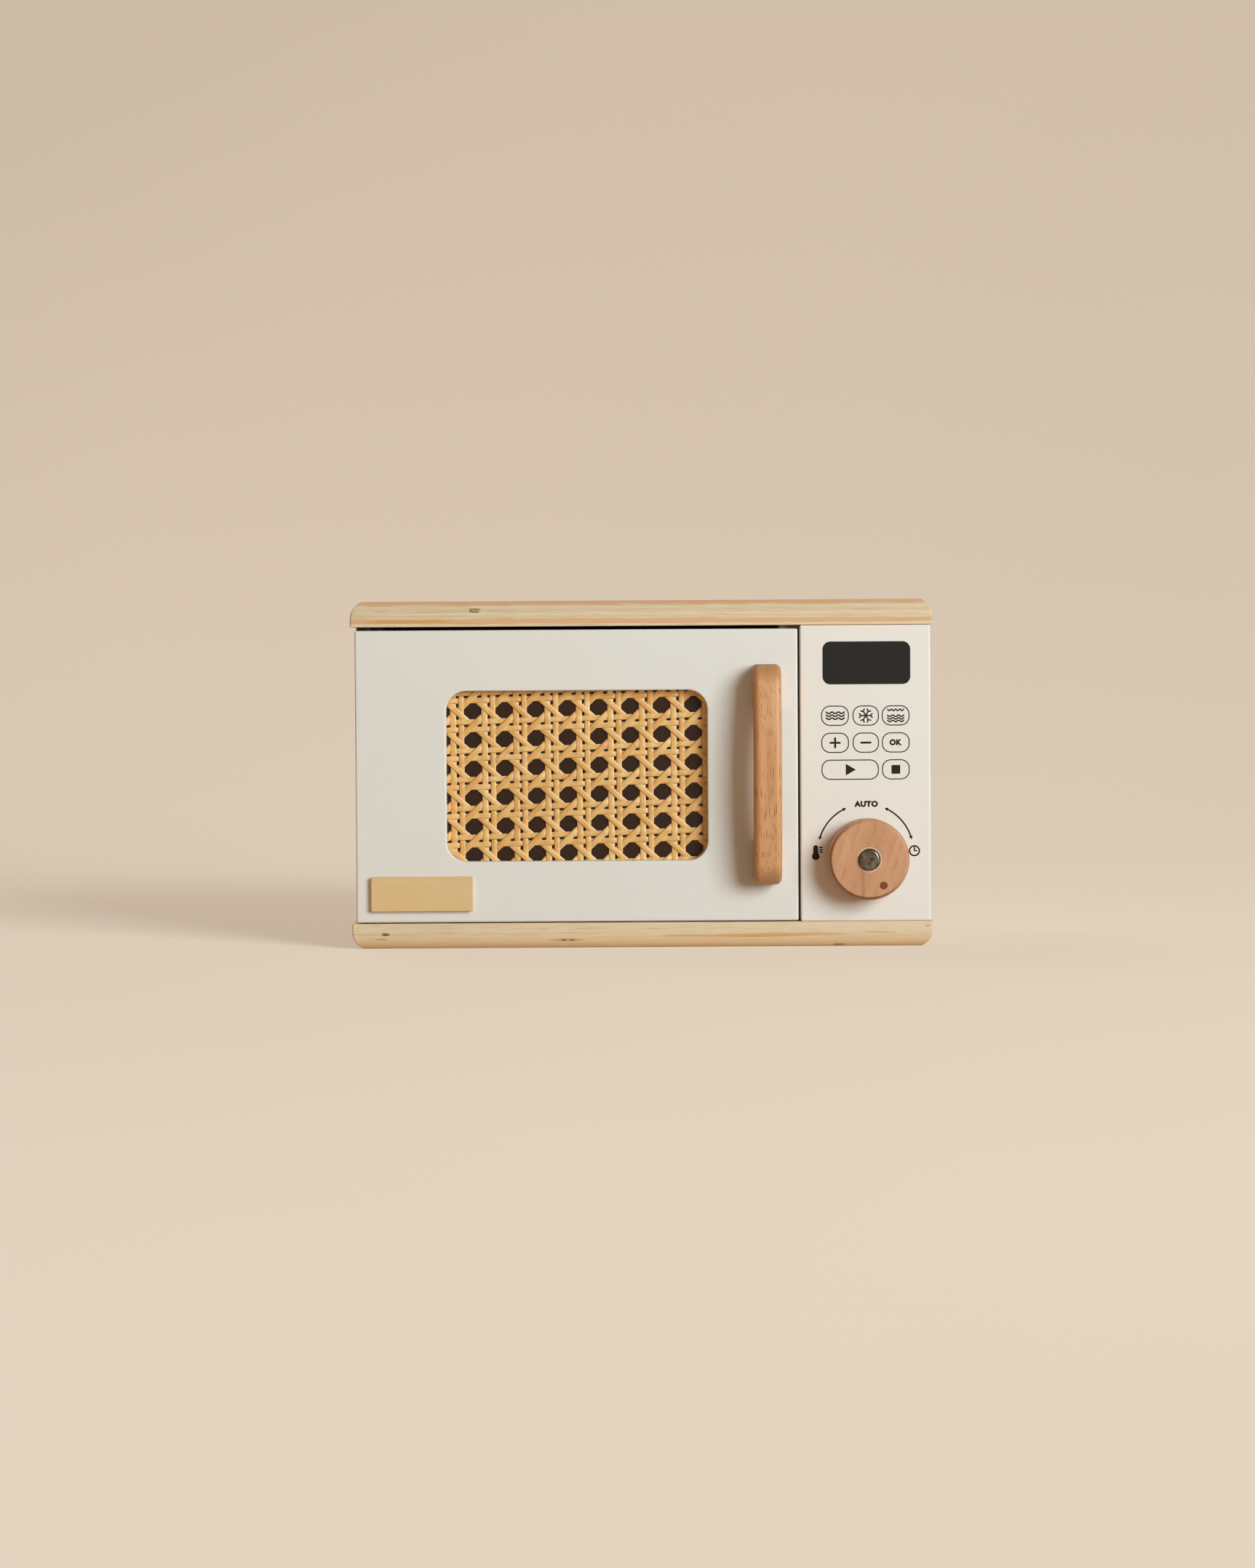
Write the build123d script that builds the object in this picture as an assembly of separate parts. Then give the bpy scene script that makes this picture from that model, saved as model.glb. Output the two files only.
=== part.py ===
from build123d import *
import math
import os

# A wooden toy microwave: two clear-finished boards with painted boards between them,
# a hinged door with a cane window, a bow handle, and a round knob.
# Millimetres. X runs to the right, Y to the back, Z up.
# The origin is the middle of the bottom board's underside.

# Cabinet
overall_width = 285.0
board_depth = 160.0
board_thickness = 12.5
inner_height = 145.4
board_corner_round = 0.9
board_arc_inset = 5.4
board_arc_height = 8.2
board_arc_bulge = 1.0
board_inner_round = 0.5
front_overhang = 0.8
left_overhang = 2.2
right_overhang = 0.9
back_overhang = 1.5
control_panel_width = 64.0
side_thickness = 12.0
side_screw_inset = 8.0
divider_thickness = 14.0
back_thickness = 5.0
painted_edge_round = 1.0

# Door
door_thickness = 12.0
door_bottom_gap = 0.5
door_top_gap = 1.7
door_side_gap = 1.1
door_stop_gap = 0.4
door_stop_overlap = 9.0
door_hinge_end_round = 4.0
door_open_degrees = 105.0
hinge_inset = 6.0
hinge_pin_radius = 1.5
hinge_pin_in_board = 8.0
hinge_pin_in_door = 12.0
hinge_collar_radius = 3.2
hinge_collar_gap = 0.2
hinge_stop_clearance = 0.3
running_clearance = 0.08

# Window and cane
window_left_margin = 44.5
window_right_margin = 44.3
window_bottom_margin = 29.8
window_top_margin = 29.8
window_corner_radius = 9.8
window_edge_round = 0.8
cane_setback = 6.5
cane_thickness = 1.4
window_sheet_thickness = 1.5
rebate_width = 8.0
rebate_corner_radius = 3.0
rebate_clearance = 0.3
cane_pitch_across = 15.4
cane_pitch_up = 14.2
cane_eye_width = 8.2
cane_eye_height = 7.3
cane_eye_flat_share = 0.42
cane_first_eye_from_left = 13.1
cane_first_eye_from_top = 10.1
cane_row_turn_degrees = 1.4
cane_column_lean_degrees = 0.3
cane_sheet_edge = 1.6

# Handle
handle_width = 13.7
handle_rise = 24.0
handle_shoulder_rise = 17.4
handle_bar_thickness = 10.0
handle_foot_length = 21.8
handle_end_round = 11.0
handle_inner_round = 9.0
handle_outer_edge_round = 2.8
handle_inner_edge_round = 1.6
handle_from_door_right = 8.6
handle_from_door_bottom = 18.3
handle_from_door_top = 17.4

# Bare plate
plate_width = 50.0
plate_height = 17.0
plate_thickness = 2.8
plate_corner_round = 1.0
plate_edge_round = 0.4
plate_left_margin = 7.3
plate_bottom_margin = 5.6

# Knob and its axle
knob_radius = 19.7
knob_thickness = 15.0
knob_front_round = 1.7
knob_back_round = 1.2
knob_from_panel_right = 31.3
knob_above_board = 30.9
knob_stand_off = 1.0
axle_radius = 2.5
cap_radius = 5.15
cap_height = 3.2
cap_round = 0.9
cap_recess_gap = 0.35
cap_recess_depth = 1.4
cap_skin = 1.0
cap_dimple_radius = 0.8
cap_dimple_depth = 0.25
dot_radius = 1.95
dot_depth = 4.0
dot_from_axis = 14.4
dot_turn_degrees = -61.3
dot_recess = 0.15
friction_washer_radius = 9.0
moving_gap = 0.3
rear_washer_radius = 7.5
rear_washer_thickness = 1.0

# Door catch
magnet_radius = 3.0
magnet_length = 6.0
magnet_recess = 0.1
strike_thickness = 1.2
strike_recess = 0.1

# Turntable
turntable_wall_gap = 11.15
turntable_thickness = 7.0
turntable_rim_width = 5.0
turntable_well_depth = 2.5
turntable_edge_round = 1.0
turntable_well_round = 1.5
pivot_radius = 4.0
pivot_in_board = 8.0
pivot_in_plate = 4.0
pivot_end_gap = 0.4
pivot_washer_radius = 10.0
pivot_washer_thickness = 1.2

# Fasteners
dowel_radius = 3.0
dowel_in_board = 8.0
dowel_in_upright = 14.0
dowel_end_chamfer = 0.6
wood_screw_head_radius = 3.2
wood_screw_head_depth = 2.4
wood_screw_shank_radius = 1.8
base_screw_length = 32.0
handle_screw_length = 24.0
back_screw_length = 18.0
frame_screw_head_radius = 1.8
frame_screw_head_depth = 1.2
frame_screw_shank_radius = 0.9
frame_screw_length = 7.4
screw_recess = 0.2
cross_slot_length_share = 0.57
cross_slot_width_share = 0.24
cross_slot_depth_share = 0.6
upright_end_margin = 24.0
back_screw_end_margin = 16.0
frame_screw_end_margin = 14.0

# How far a cutting shape runs past the face that it cuts
overrun = 1.0

# Places that follow from the sizes
left_end = -overall_width / 2
right_end = overall_width / 2
board_front = -board_depth / 2
board_back = board_depth / 2
floor_z = board_thickness
ceiling_z = board_thickness + inner_height

door_front = board_front + front_overhang
door_back = door_front + door_thickness
door_left = left_end + left_overhang
panel_right = right_end - right_overhang
panel_left = panel_right - control_panel_width
door_right = panel_left - door_side_gap
door_bottom = floor_z + door_bottom_gap
door_top = ceiling_z - door_top_gap
uprights_front = door_back + door_stop_gap
back_panel_back = board_back - back_overhang
back_panel_front = back_panel_back - back_thickness
divider_left = door_right - door_stop_overlap
divider_right = divider_left + divider_thickness
left_side_right = door_left + side_thickness
right_side_left = panel_right - side_thickness

hinge_x = door_left + hinge_inset
hinge_y = door_front + door_thickness / 2
# The door's hinge-side front corner comes round to meet the left side's front edge,
# which is what stops the door when it is fully open.
corner_x = hinge_inset - painted_edge_round
corner_y = door_thickness / 2 - painted_edge_round
corner_turn = math.radians(180.0 - door_open_degrees) + math.atan2(corner_y, corner_x)
corner_reach = math.hypot(corner_x, corner_y) * math.sin(corner_turn) + painted_edge_round
left_side_front = hinge_y + corner_reach + hinge_stop_clearance

window_left = door_left + window_left_margin
window_right = door_right - window_right_margin
window_bottom = door_bottom + window_bottom_margin
window_top = door_top - window_top_margin
window_width = window_right - window_left
window_height = window_top - window_bottom
window_x = (window_left + window_right) / 2
window_z = (window_bottom + window_top) / 2
cane_front = door_front + cane_setback
cane_back = cane_front + cane_thickness
window_sheet_back = cane_back + window_sheet_thickness
sheet_width = window_width + 2 * (rebate_width - rebate_clearance)
sheet_height = window_height + 2 * (rebate_width - rebate_clearance)

handle_bottom = door_bottom + handle_from_door_bottom
handle_top = door_top - handle_from_door_top
handle_length = handle_top - handle_bottom
handle_x = door_right - handle_from_door_right - handle_width / 2
handle_z = (handle_bottom + handle_top) / 2
foot_middle = (handle_length - handle_foot_length) / 2

knob_x = panel_right - knob_from_panel_right
knob_z = floor_z + knob_above_board
cavity_x = (left_side_right + divider_left) / 2
cavity_y = (uprights_front + back_panel_front) / 2
cavity_width = divider_left - left_side_right
cavity_depth = back_panel_front - uprights_front
turntable_radius = min(cavity_width, cavity_depth) / 2 - turntable_wall_gap
magnet_x = (divider_left + door_right) / 2
magnet_z = (door_bottom + door_top) / 2

# The y places of dowels and screws along each upright
upright_rows = [left_side_front + upright_end_margin, back_panel_front - upright_end_margin]
upright_columns = [
    door_left + side_screw_inset,
    (divider_left + divider_right) / 2,
    panel_right - side_screw_inset,
]


def block(x0, x1, y0, y1, z0, z1):
    """A square-edged block between two opposite corners."""
    return Pos(x0, y0, z0) * Box(x1 - x0, y1 - y0, z1 - z0, align=(Align.MIN,) * 3)


def disc(radius, height):
    """A cylinder that stands on the XY plane."""
    return Cylinder(radius, height, align=(Align.CENTER, Align.CENTER, Align.MIN))


def facing_front(x, y, z):
    """Turn a shape built up along +Z so that it points to the front, and place it."""
    return Pos(x, y, z) * Rot(90, 0, 0)


def facing_back(x, y, z):
    """Turn a shape built up along +Z so that it points to the back, and place it."""
    return Pos(x, y, z) * Rot(-90, 0, 0)


def front_prism(outline, x, y, z, depth):
    """Push an outline, drawn as seen from the front, back from y by a depth."""
    return Pos(x, y, z) * extrude(Plane.XZ * outline, amount=-depth)


def round_edges(shape, radius):
    """Round every edge of a plain block."""
    return fillet(shape.edges(), radius)


def screw(head_radius, head_depth, shank_radius, length):
    """A countersunk wood screw: flat head at the origin facing +Z, point below it."""
    point = shank_radius
    outline = Polyline(
        (0, 0),
        (head_radius, 0),
        (shank_radius, -head_depth),
        (shank_radius, point - length),
        (0, -length),
        close=True,
    )
    body = revolve(make_face(Plane.XZ * outline), Axis.Z)
    slot_length = 2 * head_radius * cross_slot_length_share
    slot_width = head_radius * cross_slot_width_share
    slot_depth = head_depth * cross_slot_depth_share
    for turn in (0, 90):
        body -= Rot(0, 0, turn) * Box(slot_length, slot_width, 2 * slot_depth)
    return body


def screw_hole(head_radius, head_depth, shank_radius, length):
    """The countersunk hole that the screw fills, open past its head."""
    outline = Polyline(
        (0, overrun),
        (head_radius, overrun),
        (head_radius, 0),
        (shank_radius, -head_depth),
        (shank_radius, shank_radius - length),
        (0, -length),
        close=True,
    )
    return revolve(make_face(Plane.XZ * outline), Axis.Z)


wood_screw_sizes = (wood_screw_head_radius, wood_screw_head_depth, wood_screw_shank_radius)
frame_screw_sizes = (frame_screw_head_radius, frame_screw_head_depth, frame_screw_shank_radius)


# Where each group of fasteners goes: one placement for each screw or dowel
base_screw_places = []
dowel_places = []
for column in upright_columns:
    for row in upright_rows:
        base_screw_places.append(Pos(column, row, screw_recess) * Rot(180, 0, 0))
        dowel_places.append(Pos(column, row, ceiling_z))

handle_screw_places = []
for way in (-1, 1):
    place = facing_back(handle_x, door_back - screw_recess, handle_z + way * foot_middle)
    handle_screw_places.append(place)

back_screw_places = []
for column in upright_columns:
    for height in (floor_z + back_screw_end_margin, ceiling_z - back_screw_end_margin):
        back_screw_places.append(facing_back(column, back_panel_back - screw_recess, height))

frame_screw_places = []
frame_line_x = (window_width + rebate_width) / 2
frame_line_z = (window_height + rebate_width) / 2
for way in (-1, 1):
    place = facing_back(window_x + way * frame_line_x, door_back - screw_recess, window_z)
    frame_screw_places.append(place)
    for side in (-1, 1):
        x = window_x + side * (window_width / 2 - frame_screw_end_margin)
        z = window_z + way * frame_line_z
        frame_screw_places.append(facing_back(x, door_back - screw_recess, z))


def fastener_group(one, places):
    """The same fastener at each of its places."""
    return Compound(children=[place * one for place in places])


def cut_at(shape, hole, places):
    """Cut the same hole at each place."""
    return shape - [place * hole for place in places]


def clear_board():
    """A solid wood board, lying with its outer face up, with a wide router arc along each side."""
    blank = Box(
        overall_width, board_depth, board_thickness, align=(Align.CENTER, Align.CENTER, Align.MIN)
    )
    board = blank - rim_cutters()
    corner_edges = board.edges().filter_by(
        lambda edge: max(edge.bounding_box().size.X, edge.bounding_box().size.Y) < board_thickness
    )
    board = fillet(corner_edges, board_corner_round)
    return fillet(board.faces().sort_by(Axis.Z)[0].edges(), board_inner_round)


def rim_cutters():
    """The wood that the router takes off, as a bar along each side; the bars meet in a mitre."""
    arc_start = board_thickness - board_arc_height
    middle_x = board_arc_bulge - board_arc_inset / 2
    middle_z = board_thickness - board_arc_height / 2 + board_arc_bulge
    arc = ThreePointArc((0, arc_start), (middle_x, middle_z), (-board_arc_inset, board_thickness))
    rest = Polyline(
        (-board_arc_inset, board_thickness),
        (-board_arc_inset, board_thickness + overrun),
        (overrun, board_thickness + overrun),
        (overrun, arc_start),
        (0, arc_start),
    )
    section = Plane.XZ * make_face([arc, rest])
    end_bar = extrude(Pos(right_end, 0, 0) * section, amount=board_back + overrun, both=True)
    long_bar = extrude(Pos(board_back, 0, 0) * section, amount=right_end + overrun, both=True)
    cutters = []
    for half_turn in (0, 180):
        cutters.append(Rot(0, 0, half_turn) * end_bar)
        cutters.append(Rot(0, 0, half_turn + 90) * long_bar)
    return cutters


def painted_upright(x0, x1, front):
    """A painted board that stands between the two clear boards, with softened front edges."""
    upright = block(x0, x1, front, back_panel_front, floor_z, ceiling_z)
    front_edges = upright.faces().sort_by(Axis.Y)[0].edges().filter_by(Axis.Z)
    return fillet(front_edges, painted_edge_round)


base_hole = screw_hole(*wood_screw_sizes, base_screw_length)
back_hole = screw_hole(*wood_screw_sizes, back_screw_length)
handle_hole = screw_hole(*wood_screw_sizes, handle_screw_length)
frame_hole = screw_hole(*frame_screw_sizes, frame_screw_length)
dowel_hole = Cylinder(dowel_radius, dowel_in_upright + dowel_in_board)
dowel_middle = (dowel_in_board - dowel_in_upright) / 2
dowel_holes = [place * Pos(0, 0, dowel_middle) * dowel_hole for place in dowel_places]
base_holes = [place * base_hole for place in base_screw_places]
back_holes = [place * back_hole for place in back_screw_places]
upright_holes = dowel_holes + base_holes + back_holes


def top_board():
    """The upper clear board, with blind holes for its dowels and the door's upper pin."""
    board = Pos(0, 0, ceiling_z) * clear_board()
    pin_hole = Pos(hinge_x, hinge_y, ceiling_z - overrun) * disc(
        hinge_pin_radius, hinge_pin_in_board + overrun
    )
    return board - dowel_holes - pin_hole


def bottom_board():
    """The same board turned over, with screws from below and seats for pin and pivot."""
    board = Pos(0, 0, board_thickness) * Rot(180, 0, 0) * clear_board()
    pin_hole = Pos(hinge_x, hinge_y, floor_z - hinge_pin_in_board) * disc(
        hinge_pin_radius, hinge_pin_in_board + overrun
    )
    pivot_hole = Pos(cavity_x, cavity_y, floor_z - pivot_in_board) * disc(
        pivot_radius, pivot_in_board + overrun
    )
    return board - base_holes - pin_hole - pivot_hole


def divider_board():
    """The wall between cavity and control compartment, with the magnet let into its edge."""
    board = painted_upright(divider_left, divider_right, uprights_front) - upright_holes
    hole = facing_front(magnet_x, uprights_front + magnet_recess + magnet_length, magnet_z) * disc(
        magnet_radius, magnet_length + magnet_recess + overrun
    )
    return board - hole


def back_panel():
    """The painted panel that closes the back, screwed to the three uprights."""
    panel = block(
        door_left, panel_right, back_panel_front, back_panel_back, floor_z, ceiling_z
    )
    back_edges = panel.faces().sort_by(Axis.Y)[-1].edges()
    return fillet(back_edges, painted_edge_round) - back_holes


def control_panel():
    """The painted front that carries the printed buttons and the knob."""
    panel = round_edges(
        block(panel_left, panel_right, door_front, uprights_front, floor_z, ceiling_z),
        painted_edge_round,
    )
    hole = facing_front(knob_x, uprights_front + overrun, knob_z) * disc(
        axle_radius + running_clearance, uprights_front - door_front + 2 * overrun
    )
    return panel - hole


def window_outline():
    """The window as seen from the front, about its own middle."""
    return RectangleRounded(window_width, window_height, window_corner_radius)


def door_panel():
    """The painted door: window, rebate for the cane, and holes for pins and screws."""
    panel = block(door_left, door_right, door_front, door_back, door_bottom, door_top)
    hinge_end = panel.edges().filter_by(Axis.Z).group_by(Axis.X)[0].sort_by(Axis.Y)[-1]
    panel = fillet(hinge_end, door_hinge_end_round)
    upright_edges = panel.edges().filter_by(Axis.Z).filter_by(
        lambda edge: edge.center().Y < hinge_y or edge.center().X > hinge_x
    )
    end_faces = panel.faces().filter_by(Axis.Z)
    panel = fillet(upright_edges + end_faces[0].edges() + end_faces[1].edges(), painted_edge_round)

    panel -= front_prism(
        window_outline(), window_x, door_front - overrun, window_z, door_thickness + 2 * overrun
    )
    front_face = panel.faces().filter_by(Axis.Y).sort_by(Axis.Y)[0]
    panel = fillet(front_face.inner_wires()[0].edges(), window_edge_round)
    rebate = RectangleRounded(
        window_width + 2 * rebate_width, window_height + 2 * rebate_width, rebate_corner_radius
    )
    panel -= front_prism(rebate, window_x, cane_front, window_z, door_back - cane_front + overrun)

    pin_hole = Cylinder(hinge_pin_radius + running_clearance, 2 * hinge_pin_in_door)
    panel -= Pos(hinge_x, hinge_y, door_bottom) * pin_hole
    panel -= Pos(hinge_x, hinge_y, door_top) * pin_hole
    strike_hole = Cylinder(magnet_radius, 2 * (strike_thickness + strike_recess))
    panel -= facing_back(magnet_x, door_back, magnet_z) * strike_hole
    panel = cut_at(panel, handle_hole, handle_screw_places)
    return cut_at(panel, frame_hole, frame_screw_places)


def cane_sheet_outline():
    """The outer edge of cane and retaining frame, a little inside the rebate."""
    return RectangleRounded(sheet_width, sheet_height, rebate_corner_radius)


def cane_eyes():
    """The eight-sided eyes of the weave, as far as the window shows them."""
    half_width = cane_eye_width / 2
    half_height = cane_eye_height / 2
    flat_x = half_width * cane_eye_flat_share
    flat_y = half_height * cane_eye_flat_share
    eye = make_face(
        Polyline(
            (half_width, -flat_y),
            (half_width, flat_y),
            (flat_x, half_height),
            (-flat_x, half_height),
            (-half_width, flat_y),
            (-half_width, -flat_y),
            (-flat_x, -half_height),
            (flat_x, -half_height),
            close=True,
        )
    )
    eye = Rot(0, 0, cane_row_turn_degrees) * eye
    row_turn = math.radians(cane_row_turn_degrees)
    column_lean = math.radians(cane_column_lean_degrees)
    first_x = cane_first_eye_from_left - window_width / 2
    first_y = window_height / 2 - cane_first_eye_from_top
    columns = math.ceil(window_width / cane_pitch_across) + 1
    rows = math.ceil(window_height / cane_pitch_up) + 1
    seen = Rectangle(window_width + window_edge_round, window_height + window_edge_round)
    eyes = []
    for row in range(-1, rows):
        for column in range(-1, columns):
            x = first_x + column * cane_pitch_across * math.cos(row_turn)
            x += row * cane_pitch_up * math.sin(column_lean)
            y = first_y - row * cane_pitch_up * math.cos(column_lean)
            y += column * cane_pitch_across * math.sin(row_turn)
            shown_x = window_width / 2 + half_width - abs(x)
            shown_y = window_height / 2 + half_height - abs(y)
            if min(shown_x, shown_y) > cane_sheet_edge:
                eyes.append(Pos(x, y) * eye & seen)
    return eyes


def cane_webbing():
    """The woven cane as one flat net, clamped in the door's rebate."""
    net = cane_sheet_outline() - cane_eyes()
    sheet = front_prism(net, window_x, cane_front, window_z, cane_thickness)
    return cut_at(sheet, frame_hole, frame_screw_places)


def window_sheet():
    """The smoked clear sheet behind the cane."""
    sheet = front_prism(
        cane_sheet_outline(), window_x, cane_back, window_z, window_sheet_thickness
    )
    return cut_at(sheet, frame_hole, frame_screw_places)


def cane_frame():
    """The thin frame that clamps the cane and its backing sheet from behind."""
    ring = cane_sheet_outline() - window_outline()
    depth = door_back - window_sheet_back
    frame = front_prism(ring, window_x, window_sheet_back, window_z, depth)
    return cut_at(frame, frame_hole, frame_screw_places)


def handle_inner_rise(along):
    """How far the underside of the handle's bar stands off the door, at a place along it."""
    drop = handle_rise - handle_shoulder_rise
    crown_radius = ((handle_length / 2) ** 2 + drop**2) / (2 * drop)
    inner_radius = crown_radius - handle_bar_thickness
    return handle_rise - crown_radius + math.sqrt(inner_radius**2 - along**2)


def door_handle():
    """The beech bow handle: a gently crowned bar that comes down into two feet."""
    half = handle_length / 2
    foot_inside = half - handle_foot_length
    side = Plane(origin=(handle_x, door_front, handle_z), x_dir=(0, 0, 1), z_dir=(1, 0, 0))
    outer = make_face(
        [
            Polyline((half, handle_shoulder_rise), (half, 0), (-half, 0), (-half, handle_shoulder_rise)),
            ThreePointArc((-half, handle_shoulder_rise), (0, handle_rise), (half, handle_shoulder_rise)),
        ]
    )
    outer = fillet(outer.vertices().sort_by(Axis.Y)[-2:], handle_end_round)
    bow = extrude(side * outer, amount=handle_width / 2, both=True)
    foot_face = bow.faces().filter_by(Axis.Y).sort_by(Axis.Y)[-1]
    cheek_edges = bow.edges().filter_by(Axis.X, reverse=True) - foot_face.edges()
    bow = fillet(cheek_edges, handle_outer_edge_round)

    corner_rise = handle_inner_rise(foot_inside)
    inner = make_face(
        [
            Polyline(
                (foot_inside, corner_rise),
                (foot_inside, -overrun),
                (-foot_inside, -overrun),
                (-foot_inside, corner_rise),
            ),
            ThreePointArc(
                (-foot_inside, corner_rise), (0, handle_inner_rise(0)), (foot_inside, corner_rise)
            ),
        ]
    )
    inner = fillet(inner.vertices().sort_by(Axis.Y)[-2:], handle_inner_round)
    bow -= extrude(side * inner, amount=handle_width / 2 + overrun, both=True)
    reach = foot_inside + handle_inner_edge_round
    inner_edges = bow.edges().filter_by(Axis.X, reverse=True).filter_by(
        lambda edge: edge.bounding_box().max.Z < handle_z + reach
        and edge.bounding_box().min.Z > handle_z - reach
        and edge.center().Y < door_front - handle_inner_edge_round
    )
    bow = fillet(inner_edges, handle_inner_edge_round)
    return cut_at(bow, handle_hole, handle_screw_places)


def bare_plate():
    """The small plywood plate glued to the door's lower left corner."""
    outline = RectangleRounded(plate_width, plate_height, plate_corner_round)
    plate_x = door_left + plate_left_margin + plate_width / 2
    plate_z = door_bottom + plate_bottom_margin + plate_height / 2
    plate = front_prism(outline, plate_x, door_front - plate_thickness, plate_z, plate_thickness)
    return fillet(plate.faces().sort_by(Axis.Y)[0].edges(), plate_edge_round)


def hinge_pin():
    """A plain steel pin that stands in a board and reaches into the door, pointing up."""
    reach = hinge_pin_in_door - hinge_stop_clearance
    return Pos(0, 0, -hinge_pin_in_board) * disc(hinge_pin_radius, hinge_pin_in_board + reach)


def upper_hinge_pin():
    """The door's upper pin hangs from the top board."""
    reach_down = Pos(hinge_x, hinge_y, ceiling_z) * Rot(180, 0, 0)
    return reach_down * hinge_pin()


def lower_hinge_pin():
    """The door's lower pin has a thin collar, which holds the door off the bottom board."""
    collar = disc(hinge_collar_radius, door_bottom_gap - hinge_collar_gap)
    return Pos(hinge_x, hinge_y, floor_z) * (hinge_pin() + collar)


def door_magnet():
    """The magnet in the divider's front edge."""
    return facing_back(magnet_x, uprights_front + magnet_recess, magnet_z) * disc(
        magnet_radius, magnet_length
    )


def strike_disc():
    """The steel disc in the door's back that the magnet holds."""
    return facing_front(magnet_x, door_back - strike_recess, magnet_z) * disc(
        magnet_radius, strike_thickness
    )


def push_cap():
    """A domed steel cap, open below, that is pushed onto the end of the axle."""
    cap = disc(cap_radius, cap_height)
    cap = fillet(cap.edges().sort_by(Axis.Z)[-1], cap_round)
    dimple = Sphere(cap_dimple_radius)
    cap -= Pos(0, 0, cap_height + cap_dimple_radius - cap_dimple_depth) * dimple
    return cap - disc(axle_radius, cap_height - cap_skin)


panel_thickness = uprights_front - door_front
cap_seat = knob_stand_off + knob_thickness - cap_recess_depth
rear_seat = -panel_thickness - moving_gap - rear_washer_thickness
on_knob_axis = facing_front(knob_x, door_front, knob_z)
dot_turn = math.radians(dot_turn_degrees)
dot_place = Pos(dot_from_axis * math.cos(dot_turn), dot_from_axis * math.sin(dot_turn), 0)


def control_knob():
    """The turned beech knob, with a recess for its cap and a bore for its pointer dot."""
    knob = disc(knob_radius, knob_thickness)
    knob = fillet(knob.edges().sort_by(Axis.Z)[-1], knob_front_round)
    knob = fillet(knob.edges().sort_by(Axis.Z)[0], knob_back_round)
    knob -= disc(axle_radius, knob_thickness)
    knob -= Pos(0, 0, knob_thickness - cap_recess_depth) * disc(
        cap_radius + cap_recess_gap, cap_recess_depth + overrun
    )
    knob -= dot_place * Pos(0, 0, knob_thickness - dot_recess - dot_depth) * disc(
        dot_radius, dot_depth + dot_recess + overrun
    )
    return on_knob_axis * Pos(0, 0, knob_stand_off) * knob


def knob_dot():
    """The red-brown pointer dot, let into the knob's face."""
    face = knob_stand_off + knob_thickness
    dot = Pos(0, 0, face - dot_recess - dot_depth) * disc(dot_radius, dot_depth)
    return on_knob_axis * dot_place * dot


def knob_axle():
    """The steel rod through knob and panel."""
    cap_inside = cap_height - cap_skin
    start = rear_seat - cap_inside
    return on_knob_axis * Pos(0, 0, start) * disc(axle_radius, cap_seat + cap_inside - start)


def friction_washer():
    """The felt ring behind the knob."""
    ring = disc(friction_washer_radius, knob_stand_off - moving_gap)
    ring -= disc(axle_radius, knob_stand_off)
    return on_knob_axis * Pos(0, 0, moving_gap) * ring


def rear_washer():
    """The steel washer between the panel's back and the rear cap."""
    ring = disc(rear_washer_radius, rear_washer_thickness)
    ring -= disc(axle_radius, rear_washer_thickness)
    return on_knob_axis * Pos(0, 0, rear_seat) * ring


turntable_bottom = floor_z + pivot_washer_thickness + moving_gap
on_turntable_axis = Pos(cavity_x, cavity_y, 0)


def turntable():
    """The beech turntable: a plate with a low rim and a blind hole for its pivot."""
    plate = disc(turntable_radius, turntable_thickness)
    plate = fillet(plate.edges().filter_by(GeomType.CIRCLE), turntable_edge_round)
    well = Pos(0, 0, turntable_thickness - turntable_well_depth) * disc(
        turntable_radius - turntable_rim_width, turntable_well_depth + overrun
    )
    well = fillet(well.edges().sort_by(Axis.Z)[0], turntable_well_round)
    plate -= well
    plate -= disc(pivot_radius + running_clearance, pivot_in_plate)
    return on_turntable_axis * Pos(0, 0, turntable_bottom) * plate


def turntable_pivot():
    """The beech pin on which the turntable turns."""
    start = floor_z - pivot_in_board
    top = turntable_bottom + pivot_in_plate - pivot_end_gap
    return on_turntable_axis * Pos(0, 0, start) * disc(pivot_radius, top - start)


def turntable_washer():
    """The fibre washer under the turntable."""
    ring = disc(pivot_washer_radius, pivot_washer_thickness)
    ring -= disc(pivot_radius, pivot_washer_thickness)
    return on_turntable_axis * Pos(0, 0, floor_z) * ring


def top_dowels():
    """The beech dowels that hold the top board."""
    dowel = disc(dowel_radius, dowel_in_board + dowel_in_upright)
    dowel = Pos(0, 0, -dowel_in_upright) * chamfer(
        dowel.edges().filter_by(GeomType.CIRCLE), dowel_end_chamfer
    )
    return fastener_group(dowel, dowel_places)


right_side = painted_upright(right_side_left, panel_right, uprights_front) - upright_holes
left_side = painted_upright(door_left, left_side_right, left_side_front) - upright_holes

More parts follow.
